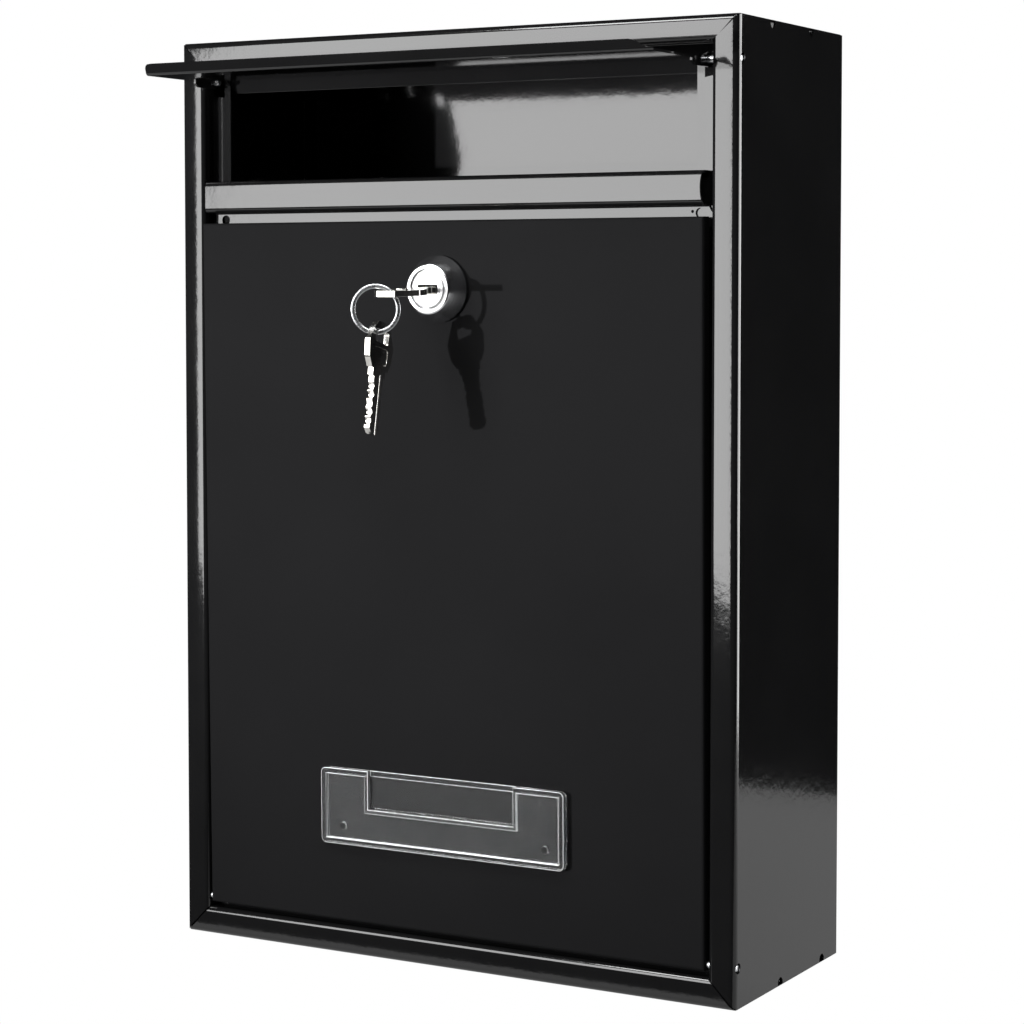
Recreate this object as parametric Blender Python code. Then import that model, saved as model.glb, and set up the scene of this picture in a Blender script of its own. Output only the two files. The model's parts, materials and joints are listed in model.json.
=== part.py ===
"""Wall-mounted sheet-steel letterbox with a lifting flap, a bottom-hinged door and a cam lock.

The casing is folded from thin painted sheet. Its front frame is mitred at the corners. The flap turns
on two pins under the top rail, and the door turns on two pins above the bottom rail. The lock's cam
swings up behind the cross rail. A key is in the lock, and a ring with a spare key hangs from it.

Lengths are in millimetres up to the function at(), which turns them into metres. A place is given as
x from the centre line, back from the front plane, and up from the bottom.
"""

import math

import bmesh
import bpy
from mathutils import Matrix, Vector

MM = 0.001
WIDTH, HEIGHT, DEPTH = 218.0, 320.0, 85.0
SHEET = 0.8  # thickness of all the folded sheet
GAP = 0.3  # left between pieces that touch
HALF_WIDTH = WIDTH / 2

# Front frame: how wide each rail looks from the front, and where its stop flange ends.
STILE, TOP_RAIL, BOTTOM_RAIL = 9.75, 8.4, 9.8
STILE_STOP, TOP_STOP, BOTTOM_STOP = 17.2, 17.9, 17.0
STOP_DEPTH = 6.0
OUTER_FOLD, INNER_FOLD, STOP_FOLD = 1.8, 1.6, 0.9  # bend radii at the middle of the sheet
FOLD_STEPS = 4
MITRE_GAP = 0.22

RAIL_TOP, RAIL_BOTTOM, RAIL_FLANGE_END = 270.7, 259.5, 252.5
RAIL_HALF = 98.95
RAIL_FLANGE_DEPTH, RAIL_FOLD = 4.9, 1.5

BACK_RIM = 10.0
BACK_FOLD = 1.2
WALL_HOLE_X, WALL_HOLE_LOW, WALL_HOLE_HIGH, WALL_HOLE_RADIUS = 78.0, 48.0, 272.0, 2.75

DOOR_HALF, DOOR_LOW, DOOR_HIGH, DOOR_DEPTH, DOOR_FOLD = 98.2, 11.8, 255.8, 4.6, 1.3
DOOR_AXIS_BACK, DOOR_AXIS_UP = 2.7, 13.6
DOOR_AJAR = math.radians(0.75)  # unlocked, its top edge leans out by 3 mm
FLAP_AXIS_BACK, FLAP_AXIS_UP = 3.2, 305.9
PIN_RADIUS, PIN_SOCKET, PIN_WALL_HOLE = 1.25, 1.33, 1.8
PIN_OUTER = HALF_WIDTH - 0.4

FLAP_HALF, FLAP_REAR, FLAP_FRONT, LIP_HIGH, LIP_FOLD = 96.9, -4.5, -37.5, 309.5, 0.9
EAR_HALF, EAR_RADIUS, EAR_FRONT, EAR_LOW = 97.0, 2.4, -9.0, 303.6

LOCK_UP = 232.7
HEAD_RADIUS, FACE_RADIUS, FACE_BACK = 11.3, 8.15, -7.8
BARREL_RADIUS, BARREL_END = 8.0, 12.8
PLUG_HEAD, PLUG_CORE, TAIL_HALF, TAIL_END = 6.6, 5.2, 3.0, 15.0
KEYWAY_WIDE, KEYWAY_HIGH, KEYWAY_END = 7.8, 3.0, 11.6
WAFERS = 4
FIRST_WAFER, WAFER_PITCH, WAFER_THICK = -3.5, 3.0, 1.0
CAM_HALF_WIDTH, CAM_THICK, CAM_HUB, CAM_TIP, CAM_REACH = 6.0, 1.5, 14.05, 10.05, 27.0

PLATE_HALF, PLATE_LOW, PLATE_HIGH, PLATE_PROUD = 48.0, 39.7, 66.1, 2.9
PLATE_RIM, PLATE_FACE, CARD_POCKET = 1.8, -2.4, -1.3
NOTCH_HALF, NOTCH_DEPTH = 28.85, 13.4
POST_X, POST_UP = 40.0, 45.8

KEY_THICK, KEY_LENGTH, BOW_LENGTH, BOW_HALF, BLADE_HALF = 2.0, 37.5, 18.5, 9.2, 3.5
SLOT_FROM_END, SLOT_HALF_WIDE, SLOT_HALF_HIGH = 4.9, 5.0, 2.0
KEY_END_BACK = -34.0
KEY_DROOP = math.radians(2.25)  # play in the keyway lets the key hang a little
DROOP_PIVOT_BACK = -4.0
RING_RADIUS, RING_WIRE = 7.6, 0.85
RING_TURN = math.radians(20)
SPARE_TURN = math.radians(7)
SPARE_TILT = math.radians(13)  # its wide slot hangs from one end, so the key hangs askew


def at(x, back, up):
    return Vector((x * MM, (back - DEPTH) * MM, (up - HEIGHT / 2) * MM))


def clear_scene():
    for obj in list(bpy.data.objects):
        bpy.data.objects.remove(obj)


def finish(name, color, roughness, metallic):
    material = bpy.data.materials.new(name)
    material.use_nodes = True
    shader = material.node_tree.nodes["Principled BSDF"]
    shader.inputs["Base Color"].default_value = (*color, 1.0)
    shader.inputs["Roughness"].default_value = roughness
    shader.inputs["Metallic"].default_value = metallic
    return material


def add_object(name, mesh_data, material=None):
    """A new object from a bmesh, with its faces turned outwards."""
    bmesh.ops.recalc_face_normals(mesh_data, faces=mesh_data.faces)
    mesh = bpy.data.meshes.new(name)
    mesh_data.to_mesh(mesh)
    mesh_data.free()
    mesh.shade_smooth()
    mesh.set_sharp_from_angle(angle=math.radians(30))
    if material:
        mesh.materials.append(material)
    obj = bpy.data.objects.new(name, mesh)
    bpy.context.scene.collection.objects.link(obj)
    return obj


def boolean(target, tool, operation="DIFFERENCE"):
    """Cuts the tool out of the target, or joins the two, and hides the tool."""
    modifier = target.modifiers.new(tool.name, "BOOLEAN")
    modifier.operation = operation
    modifier.solver = "EXACT"
    modifier.object = tool
    tool.hide_render = True
    tool.display_type = "WIRE"


def hinge_empty(name, place, turn=0.0):
    """An empty on a joint's axis. What is hung from it turns about that axis by its rest angle."""
    empty = bpy.data.objects.new(name, None)
    empty.location = place
    empty.rotation_euler.x = turn
    bpy.context.scene.collection.objects.link(empty)
    return empty


def hang(obj, empty):
    """Hangs a piece and its cutters from an empty, as if the empty were not turned."""
    pieces = [obj] + [modifier.object for modifier in obj.modifiers if modifier.type == "BOOLEAN"]
    for piece in pieces:
        piece.parent = empty
        piece.matrix_parent_inverse = Matrix.Translation(-empty.location)


def bend(before, corner, after, radius, steps):
    """The points of the arc that rounds a corner, each with the normal to the left of the path."""
    arriving = (corner - before).normalized()
    leaving = (after - corner).normalized()
    turn = arriving.angle_signed(leaving)
    reach = radius * math.tan(abs(turn) / 2)
    side = -1.0 if turn > 0 else 1.0
    start = corner - arriving * reach
    left = Vector((-arriving.y, arriving.x))
    centre = start + left * radius * side
    points = []
    for step in range(steps + 1):
        angle = -turn * step / steps
        normal = Matrix.Rotation(angle, 2) @ left
        points.append((centre - normal * radius * side, normal))
    return points


def strip_outline(path, radii, thickness, steps=FOLD_STEPS):
    """The closed outline of folded sheet whose middle follows the path, with a radius at each corner."""
    path = [Vector(point) for point in path]
    first = (path[1] - path[0]).normalized()
    last = (path[-1] - path[-2]).normalized()
    middle = [(path[0], Vector((-first.y, first.x)))]
    for index, radius in enumerate(radii, start=1):
        middle += bend(path[index - 1], path[index], path[index + 1], radius, steps)
    middle.append((path[-1], Vector((-last.y, last.x))))
    left = [point + normal * thickness / 2 for point, normal in middle]
    right = [point - normal * thickness / 2 for point, normal in middle]
    return left + right[::-1]


def rounded_outline(corners, radii, steps=FOLD_STEPS):
    """A closed polygon with its corners rounded."""
    corners = [Vector(point) for point in corners]
    outline = []
    for index, radius in enumerate(radii):
        before, corner = corners[index - 1], corners[index]
        after = corners[(index + 1) % len(corners)]
        if radius:
            outline += [point for point, _ in bend(before, corner, after, radius, steps)]
        else:
            outline.append(corner)
    return outline


def prism(name, outline, place, material=None):
    """A solid between two copies of an outline. place(point, end) puts a point in space, end 0 or 1."""
    shape = bmesh.new()
    ends = [[shape.verts.new(place(point, end)) for point in outline] for end in (0, 1)]
    shape.faces.new(ends[0])
    shape.faces.new(ends[1][::-1])
    for index in range(len(outline)):
        after = (index + 1) % len(outline)
        shape.faces.new((ends[0][index], ends[1][index], ends[1][after], ends[0][after]))
    return add_object(name, shape, material)


def box(name, low, high, material=None):
    """A box between two corners, each given as x, back and up."""
    outline = [(low[0], low[1]), (high[0], low[1]), (high[0], high[1]), (low[0], high[1])]
    levels = (low[2], high[2])
    return prism(name, outline, lambda p, end: at(p[0], p[1], levels[end]), material)


def lathe(name, profile, place, sides, material=None, closed=True):
    """Turns a profile of (radius, along) points. place(x, along, z) puts a point in space."""
    shape = bmesh.new()
    rings = []
    for radius, along in profile:
        if radius == 0:
            rings.append([shape.verts.new(place(0, along, 0))] * sides)
            continue
        ring = []
        for side in range(sides):
            angle = 2 * math.pi * side / sides
            ring.append(shape.verts.new(place(radius * math.cos(angle), along, radius * math.sin(angle))))
        rings.append(ring)
    pairs = list(zip(rings, rings[1:]))
    if closed:
        pairs.append((rings[-1], rings[0]))
    for ring, following in pairs:
        for side in range(sides):
            after = (side + 1) % sides
            corners = (ring[side], ring[after], following[after], following[side])
            shape.faces.new(dict.fromkeys(corners))
    return add_object(name, shape, material)


def around_lock(x, along, z):
    return at(x, along, LOCK_UP + z)


def disc(name, radius, start, end, place, sides=24, material=None):
    """A solid cylinder along the place function's middle axis."""
    profile = [(0, start), (radius, start), (radius, end), (0, end)]
    return lathe(name, profile, place, sides, material, closed=False)


def along_x(back, up):
    return lambda y, along, z: at(along, back + y, up + z)


def pan(name, low, high, thickness, fold, open_back, material):
    """A shallow tray of folded sheet. Its plate is at the front if open_back, or else at the back."""
    shape = bmesh.new()
    bmesh.ops.create_cube(shape, size=1.0)
    for vertex in shape.verts:
        corner = [high[axis] if vertex.co[axis] > 0 else low[axis] for axis in range(3)]
        vertex.co = at(*corner)
    plate = at(0, low[1] if open_back else high[1], 0).y
    edges = [e for e in shape.edges if all(abs(v.co.y - plate) < 1e-6 for v in e.verts)]
    bmesh.ops.bevel(shape, geom=edges, offset=fold * MM, segments=FOLD_STEPS, profile=0.5, affect="EDGES")
    tray = add_object(name, shape, material)
    inside_low = [low[0] + thickness, low[1] + thickness, low[2] + thickness]
    inside_high = [high[0] - thickness, high[1] + 1, high[2] - thickness]
    if not open_back:
        inside_low[1], inside_high[1] = low[1] - 1, high[1] - thickness
    boolean(tray, box(name + "_hollow", inside_low, inside_high))
    return tray


def frame_profile(rail, stop):
    """The folds of one side of the casing: wall, front flange, return and stop flange."""
    half = SHEET / 2
    path = [(half, DEPTH), (half, half), (rail - half, half), (rail - half, STOP_DEPTH + half)]
    path.append((stop, STOP_DEPTH + half))
    return strip_outline(path, [OUTER_FOLD, INNER_FOLD, STOP_FOLD], SHEET)


def side_panel(name, side, material):
    def place(point, end):
        inward, back = point
        if end:
            up = HEIGHT - MITRE_GAP - inward * TOP_RAIL / STILE
        else:
            up = MITRE_GAP + inward * BOTTOM_RAIL / STILE
        return at(side * (HALF_WIDTH - inward), back, up)

    panel = prism(name, frame_profile(STILE, STILE_STOP), place, material)
    for label, back, up in (
        ("flap", FLAP_AXIS_BACK, FLAP_AXIS_UP),
        ("door", DOOR_AXIS_BACK, DOOR_AXIS_UP),
    ):
        ends = sorted((side * (HALF_WIDTH - STILE - 1), side * (HALF_WIDTH + 1)))
        boolean(panel, disc(f"{name}_{label}_hole", PIN_WALL_HOLE, *ends, along_x(back, up)))
    return panel


def level_panel(name, rail, stop, top, material):
    """The casing's top or bottom, mitred to the side panels at both ends."""

    def place(point, end):
        inward, back = point
        x = HALF_WIDTH - MITRE_GAP - inward * STILE / rail
        return at(x if end else -x, back, HEIGHT - inward if top else inward)

    return prism(name, frame_profile(rail, stop), place, material)


def back_panel(material):
    edge = SHEET + GAP
    low = (-HALF_WIDTH + edge, DEPTH - BACK_RIM, edge)
    high = (HALF_WIDTH - edge, DEPTH, HEIGHT - edge)
    panel = pan("back_panel", low, high, SHEET, BACK_FOLD, False, material)
    for x in (-WALL_HOLE_X, WALL_HOLE_X):
        for up in (WALL_HOLE_LOW, WALL_HOLE_HIGH):
            drill = disc(
                f"wall_hole_{x:.0f}_{up:.0f}",
                WALL_HOLE_RADIUS,
                DEPTH - 2,
                DEPTH + 1,
                lambda across, along, z, x=x, up=up: at(x + across, along, up + z),
            )
            boolean(panel, drill)
    return panel


def cross_rail(material):
    half = SHEET / 2
    top, bottom = RAIL_TOP - half, RAIL_BOTTOM + half
    flange = RAIL_FLANGE_DEPTH + half
    path = [(STOP_DEPTH - GAP, top), (half, top), (half, bottom), (flange, bottom), (flange, RAIL_FLANGE_END)]
    outline = strip_outline(path, [RAIL_FOLD, RAIL_FOLD, STOP_FOLD], SHEET)
    ends = (-RAIL_HALF, RAIL_HALF)
    return prism("cross_rail", outline, lambda p, end: at(ends[end], p[0], p[1]), material)


def make_casing(paint):
    for side, name in ((-1, "left_side_panel"), (1, "right_side_panel")):
        side_panel(name, side, paint)
    level_panel("top_panel", TOP_RAIL, TOP_STOP, True, paint)
    level_panel("bottom_panel", BOTTOM_RAIL, BOTTOM_STOP, False, paint)
    back_panel(paint)
    cross_rail(paint)


def hinge_pins(name, back, up, inner, steel):
    for side, label in ((-1, "left"), (1, "right")):
        ends = sorted((side * inner, side * PIN_OUTER))
        disc(f"{name}_{label}", PIN_RADIUS, *ends, along_x(back, up), 20, steel)


def lip_end_cutter(side):
    """Takes the lip's end away along an S-shaped curve down to the sheet."""
    start, end, low, high = 89.0, 96.0, 306.75, 310.5
    steps = 8
    outline = [(side * start, high)]
    for step in range(steps + 1):
        share = step / steps
        drop = 0.5 - 0.5 * math.cos(math.pi * share)
        outline.append((side * (start + (end - start) * share), LIP_HIGH - (LIP_HIGH - low) * drop))
    outline += [(side * 99.0, low), (side * 99.0, high)]
    backs = (FLAP_FRONT - 1, FLAP_FRONT + 3)
    return prism(f"lip_end_{side}", outline, lambda p, end: at(p[0], backs[end], p[1]))


def flap_ear(side):
    """The bent-down tab at the flap's end that turns on the pin."""
    outline = [(EAR_FRONT, FLAP_AXIS_UP + 0.45), (EAR_FRONT, EAR_LOW + 1.2), (EAR_FRONT + 2, EAR_LOW)]
    for step in range(11):
        angle = math.radians(-90 + 18 * step)
        along = EAR_RADIUS * math.cos(angle)
        outline.append((FLAP_AXIS_BACK + along, FLAP_AXIS_UP + EAR_RADIUS * math.sin(angle)))
    outline.append((FLAP_REAR + 3, FLAP_AXIS_UP + 0.45))
    xs = (side * (EAR_HALF - SHEET), side * EAR_HALF)
    return prism(f"flap_ear_{side}", outline, lambda p, end: at(xs[end], p[0], p[1]))


def make_flap(paint, hinge):
    half = SHEET / 2
    level = FLAP_AXIS_UP + 0.1
    path = [(FLAP_REAR, level), (FLAP_FRONT + half, level), (FLAP_FRONT + half, LIP_HIGH)]
    outline = strip_outline(path, [LIP_FOLD], SHEET)
    widths = (-FLAP_HALF, FLAP_HALF)
    flap = prism("flap_panel", outline, lambda p, end: at(widths[end], p[0], p[1]), paint)
    for side in (-1, 1):
        boolean(flap, lip_end_cutter(side))
        boolean(flap, flap_ear(side), "UNION")
        ends = sorted((side * (EAR_HALF - 3), side * (EAR_HALF + 2)))
        place = along_x(FLAP_AXIS_BACK, FLAP_AXIS_UP)
        boolean(flap, disc(f"flap_ear_hole_{side}", PIN_SOCKET, *ends, place, 20))
    hang(flap, hinge)


def make_door(paint, hinge):
    low = (-DOOR_HALF, 0.0, DOOR_LOW)
    high = (DOOR_HALF, DOOR_DEPTH, DOOR_HIGH)
    door = pan("door_panel", low, high, SHEET, DOOR_FOLD, True, paint)
    boolean(door, disc("lock_hole", BARREL_RADIUS + GAP, -1, 2, around_lock, 40))
    for side in (-1, 1):
        ends = sorted((side * (DOOR_HALF - 3), side * (DOOR_HALF + 2)))
        place = along_x(DOOR_AXIS_BACK, DOOR_AXIS_UP)
        boolean(door, disc(f"door_pin_hole_{side}", PIN_SOCKET, *ends, place, 20))
        boolean(door, disc(f"post_hole_{side}", 1.5, -1, 2, post_place(side)))
    hang(door, hinge)


def post_place(side):
    return lambda x, along, z: at(side * POST_X + x, along, POST_UP + z)


def make_nameplate(plastic, hinge):
    """A clear cover for a name card: a rim, a thumb notch, a card pocket behind and two staked posts."""
    low = (-PLATE_HALF, -PLATE_PROUD, PLATE_LOW)
    high = (PLATE_HALF, -GAP, PLATE_HIGH)
    shape = bmesh.new()
    bmesh.ops.create_cube(shape, size=1.0)
    for vertex in shape.verts:
        vertex.co = at(*[high[axis] if vertex.co[axis] > 0 else low[axis] for axis in range(3)])
    edges = [e for e in shape.edges if abs(e.verts[0].co.y - e.verts[1].co.y) > 0.5 * MM]
    bmesh.ops.bevel(shape, geom=edges, offset=PLATE_RIM * MM, segments=4, profile=0.5, affect="EDGES")
    plate = add_object("nameplate_window", shape, plastic)
    inner, bottom, top = PLATE_HALF - PLATE_RIM, PLATE_LOW + PLATE_RIM, PLATE_HIGH - PLATE_RIM
    boolean(plate, box("plate_face", (-inner, -4, bottom), (inner, PLATE_FACE, top)))
    boolean(plate, box("card_pocket", (-inner, CARD_POCKET, bottom), (inner, 1, top)))
    notch_low = PLATE_HIGH - NOTCH_DEPTH
    boolean(plate, box("thumb_notch", (-NOTCH_HALF, -5, notch_low), (NOTCH_HALF, 1, PLATE_HIGH + 2)))
    for side in (-1, 1):
        profile = [(0, -1.8), (1.2, -1.8), (1.2, 1.1), (2.2, 1.1), (1.9, 1.9), (0, 1.9)]
        post = lathe(f"plate_post_{side}", profile, post_place(side), 16, None, closed=False)
        boolean(plate, post, "UNION")
    hang(plate, hinge)


def make_lock_body(chrome, steel, hinge):
    profile = [
        (5.5, BARREL_END),
        (BARREL_RADIUS, BARREL_END),
        (BARREL_RADIUS, -GAP),
        (HEAD_RADIUS, -GAP),
        (HEAD_RADIUS, -1.1),
        (FACE_RADIUS + 0.2, FACE_BACK + 0.2),
        (FACE_RADIUS - 0.2, FACE_BACK),
        (PLUG_HEAD + GAP, FACE_BACK),
        (PLUG_HEAD + GAP, -6.2),
        (5.5, -6.2),
    ]
    hang(lathe("lock_body", profile, around_lock, 40, chrome), hinge)
    inner = BARREL_RADIUS + GAP
    washer = [(inner, 1.1), (11.2, 1.1), (11.2, 1.9), (inner, 1.9)]
    hang(lathe("lock_washer", washer, around_lock, 32, steel), hinge)
    corners = [math.radians(60 * corner) for corner in range(6)]
    outline = [(11.55 * math.cos(angle), 11.55 * math.sin(angle)) for angle in corners]
    backs = (2.2, 5.7)
    nut = prism("lock_nut", outline, lambda p, end: around_lock(p[0], backs[end], p[1]), steel)
    boolean(nut, disc("nut_bore", inner, 1, 7, around_lock, 32))
    hang(nut, hinge)


def lock_box(name, half_wide, half_high, start, end, material=None):
    low = (-half_wide, start, LOCK_UP - half_high)
    high = (half_wide, end, LOCK_UP + half_high)
    return box(name, low, high, material)


def make_plug(chrome, brass, steel, hinge):
    front, shoulder, rear = -7.6, -6.5, 13.0
    profile = [(0, front), (PLUG_HEAD, front), (PLUG_HEAD, shoulder)]
    profile += [(PLUG_CORE, shoulder), (PLUG_CORE, rear), (0, rear)]
    plug = lathe("lock_plug", profile, around_lock, 32, chrome, closed=False)
    boolean(plug, lock_box("plug_tail", TAIL_HALF, TAIL_HALF, 12.0, TAIL_END), "UNION")
    boolean(plug, lock_box("keyway", KEYWAY_WIDE / 2, KEYWAY_HIGH / 2, -9, KEYWAY_END))
    boolean(plug, disc("cam_screw_hole", 1.8, 12.0, TAIL_END + 1, around_lock, 16))
    for index in range(WAFERS):
        start = FIRST_WAFER + index * WAFER_PITCH
        slot = lock_box(f"wafer_slot_{index + 1}", 6.0, 2.5, start - GAP, start + WAFER_THICK + GAP)
        boolean(plug, slot)
        wafer = lock_box(f"wafer_{index + 1}", 4.6, 2.2, start, start + WAFER_THICK, brass)
        through = (start - 1, start + WAFER_THICK + 1)
        window = lock_box(f"wafer_window_{index + 1}", KEYWAY_WIDE / 2, KEYWAY_HIGH / 2, *through)
        boolean(wafer, window)
        hang(wafer, hinge)
    hang(plug, hinge)

    path = [(-8.0, CAM_HUB), (9.6, CAM_HUB), (12.4, CAM_TIP), (CAM_REACH, CAM_TIP)]
    levels = (LOCK_UP - CAM_HALF_WIDTH, LOCK_UP + CAM_HALF_WIDTH)
    outline = strip_outline(path, [1.2, 1.2], CAM_THICK)
    cam = prism("cam_lever", outline, lambda p, end: at(p[0], p[1], levels[end]), steel)
    square = TAIL_HALF + GAP
    boolean(cam, lock_box("cam_square", square, square, CAM_HUB - 2, CAM_HUB + 2))
    hang(cam, hinge)

    washer = [(1.9, 15.3), (5.0, 15.3), (5.0, 16.0), (1.9, 16.0)]
    hang(lathe("cam_washer", washer, around_lock, 24, steel), hinge)
    screw = [(0, 12.3), (1.5, 12.3), (1.5, 16.3), (3.5, 16.3), (3.5, 17.3), (2.4, 18.3), (0, 18.3)]
    hang(lathe("cam_screw", screw, around_lock, 20, steel, closed=False), hinge)


def key_outline():
    """A key from above: x across and y from the bow's end towards the tip. It is the same on both edges."""
    bow = [(4.4, 0.0), (8.0, 3.2), (BOW_HALF, 9.5), (6.4, BOW_LENGTH), (BLADE_HALF, BOW_LENGTH)]
    radii = [1.6, 2.5, 3.0, 1.6, 0.0]
    cuts = []
    first, pitch, depth = BOW_LENGTH + 3.4, 2.9, 1.1
    for index in range(5):
        centre = first + index * pitch
        cuts += [(BLADE_HALF, centre - 1.2), (BLADE_HALF - depth, centre), (BLADE_HALF, centre + 1.2)]
    tip = [(BLADE_HALF, KEY_LENGTH - 1.6), (1.5, KEY_LENGTH)]
    right = bow + cuts + tip
    radii += [0.0] * (len(cuts) + len(tip))
    left = [(-x, y) for x, y in reversed(right)]
    return rounded_outline(right + left, radii + radii[::-1])


def make_key(name, matrix, material):
    """A key placed by a matrix whose x is across, y towards the tip and z through the thickness."""
    levels = (-KEY_THICK / 2, KEY_THICK / 2)

    def place(point, end):
        return matrix @ (Vector((point[0], point[1], levels[end])) * MM)

    def slot_place(point, end):
        return matrix @ (Vector((point[0], point[1], 3 * levels[end])) * MM)

    key = prism(name, key_outline(), place, material)
    wide, high = SLOT_HALF_WIDE, SLOT_HALF_HIGH
    corners = [(-wide, -high), (wide, -high), (wide, high), (-wide, high)]
    slot = [Vector((x, y + SLOT_FROM_END)) for x, y in corners]
    slot_hole = prism(name + "_slot", rounded_outline(slot, [high * 0.7] * 4), slot_place)
    boolean(key, slot_hole)
    return key


def door_turn():
    """The rest turn of everything on the door, as a matrix."""
    axis = at(0, DOOR_AXIS_BACK, DOOR_AXIS_UP)
    return Matrix.Translation(axis) @ Matrix.Rotation(DOOR_AJAR, 4, "X") @ Matrix.Translation(-axis)


def make_keys(nickel, steel):
    """The key in the lock, the ring through its bow, and the spare key hanging from the ring."""
    pivot = at(0, DROOP_PIVOT_BACK, LOCK_UP)
    droop = Matrix.Translation(pivot) @ Matrix.Rotation(KEY_DROOP, 4, "X") @ Matrix.Translation(-pivot)
    key_matrix = door_turn() @ droop @ Matrix.Translation(at(0, KEY_END_BACK, LOCK_UP))
    slide_empty = hinge_empty("key_slide", key_matrix @ Vector((0, KEY_LENGTH * MM, 0)))
    hang(make_key("key", key_matrix, nickel), slide_empty)

    # The ring's near side is in the slot and its far side is past the bow's end.
    slot_centre = key_matrix @ Vector((0, SLOT_FROM_END * MM, 0))
    along = Vector((math.cos(RING_TURN), math.sin(RING_TURN), 0))
    drop = RING_RADIUS - RING_WIRE - KEY_THICK / 2 - 0.45
    half_chord = math.sqrt(RING_RADIUS**2 - drop**2)
    crossing = slot_centre + Vector((-0.6 * MM, 0.1 * MM, 0))
    ring_centre = crossing - along * half_chord * MM - Vector((0, 0, drop * MM))
    ring_facing = Matrix.Translation(ring_centre) @ Matrix.Rotation(RING_TURN, 4, "Z")
    wire_steps = 10
    angles = [2 * math.pi * step / wire_steps for step in range(wire_steps)]
    wire = [(RING_RADIUS + RING_WIRE * math.cos(a), RING_WIRE * math.sin(a)) for a in angles]

    def ring_place(x, y, z):
        return ring_facing @ (Vector((x, y, z)) * MM)

    # As the key turns, the ring slides round through the slot, so its joint is at its own centre.
    hang(lathe("key_ring", wire, ring_place, 40, steel), hinge_empty("ring_turn", ring_centre))

    # The spare key hangs by one end of its slot from the bottom of the ring.
    bottom = ring_centre - Vector((0, 0, RING_RADIUS * MM))
    hanging = Matrix.Rotation(SPARE_TURN, 4, "Z") @ Matrix.Rotation(-SPARE_TILT, 4, "X")
    # Its x becomes the direction towards the wall, its y points down and its z goes across.
    upright = Matrix(((0, 0, 1, 0), (1, 0, 0, 0), (0, -1, 0, 0), (0, 0, 0, 1))).to_4x4()
    hook = Vector((-(SLOT_HALF_WIDE - 1.5), SLOT_FROM_END - SLOT_HALF_HIGH + RING_WIRE + 0.35, 0)) * MM
    spare_matrix = Matrix.Translation(bottom) @ hanging @ upright @ Matrix.Translation(-hook)
    hang(make_key("spare_key", spare_matrix, nickel), hinge_empty("spare_swing", bottom))


def main():
    clear_scene()
    gloss_paint = finish("gloss_black_paint", (0.012, 0.012, 0.013), 0.18, 0.0)
    door_paint = finish("satin_black_paint", (0.02, 0.02, 0.021), 0.5, 0.0)
    chrome = finish("chrome", (0.82, 0.83, 0.85), 0.08, 1.0)
    steel = finish("zinc_plated_steel", (0.62, 0.62, 0.62), 0.32, 1.0)
    nickel = finish("nickel_plated_brass", (0.75, 0.74, 0.7), 0.22, 1.0)
    brass = finish("brass", (0.72, 0.55, 0.25), 0.3, 1.0)
    plastic = finish("clear_plastic", (0.85, 0.87, 0.88), 0.08, 0.0)

    make_casing(gloss_paint)
    hinge_pins("flap_hinge_pin", FLAP_AXIS_BACK, FLAP_AXIS_UP, 94.6, steel)
    hinge_pins("door_hinge_pin", DOOR_AXIS_BACK, DOOR_AXIS_UP, 95.4, steel)
    make_flap(gloss_paint, hinge_empty("flap_hinge", at(0, FLAP_AXIS_BACK, FLAP_AXIS_UP)))

    door_hinge = hinge_empty("door_hinge", at(0, DOOR_AXIS_BACK, DOOR_AXIS_UP), DOOR_AJAR)
    make_door(door_paint, door_hinge)
    make_nameplate(plastic, door_hinge)
    make_lock_body(chrome, steel, door_hinge)
    make_plug(chrome, brass, steel, door_hinge)
    make_keys(nickel, steel)


main()
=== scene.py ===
"""Builds the finished look of a wall-mounted sheet-steel letterbox around its packed working model.

Every piece is made again in fine detail where its working solid is, in metres: the casing's panels are
folded from thin sheet, the lock is turned, the keys are cut and the name-plate window is moulded. The
sizes and colours that a maker would change are in the property groups. The panel in the 3D view's
sidebar lists the operators in the order in which they run.
"""

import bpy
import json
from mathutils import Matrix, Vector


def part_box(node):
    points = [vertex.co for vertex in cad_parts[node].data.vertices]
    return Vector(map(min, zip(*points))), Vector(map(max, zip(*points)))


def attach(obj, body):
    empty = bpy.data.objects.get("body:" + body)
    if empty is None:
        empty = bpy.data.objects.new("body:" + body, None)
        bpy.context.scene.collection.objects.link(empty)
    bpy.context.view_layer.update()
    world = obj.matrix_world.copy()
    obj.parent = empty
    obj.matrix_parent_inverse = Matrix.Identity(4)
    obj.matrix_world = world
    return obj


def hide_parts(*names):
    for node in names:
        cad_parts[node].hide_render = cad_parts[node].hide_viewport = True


bl_info = {
    "name": "Wall Letterbox Builder",
    "version": (1, 0, 0),
    "blender": (4, 5, 0),
    "location": "View3D > Sidebar > Letterbox",
    "description": "Builds a sheet-steel wall letterbox with a flap, a door, a cam lock and keys",
    "category": "Add Mesh",
}

import json
import math
from contextlib import contextmanager

import bmesh
import bpy
from bpy.props import FloatProperty, FloatVectorProperty, IntProperty, PointerProperty
from bpy.types import Operator, Panel, PropertyGroup
from mathutils import Matrix, Vector

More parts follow.
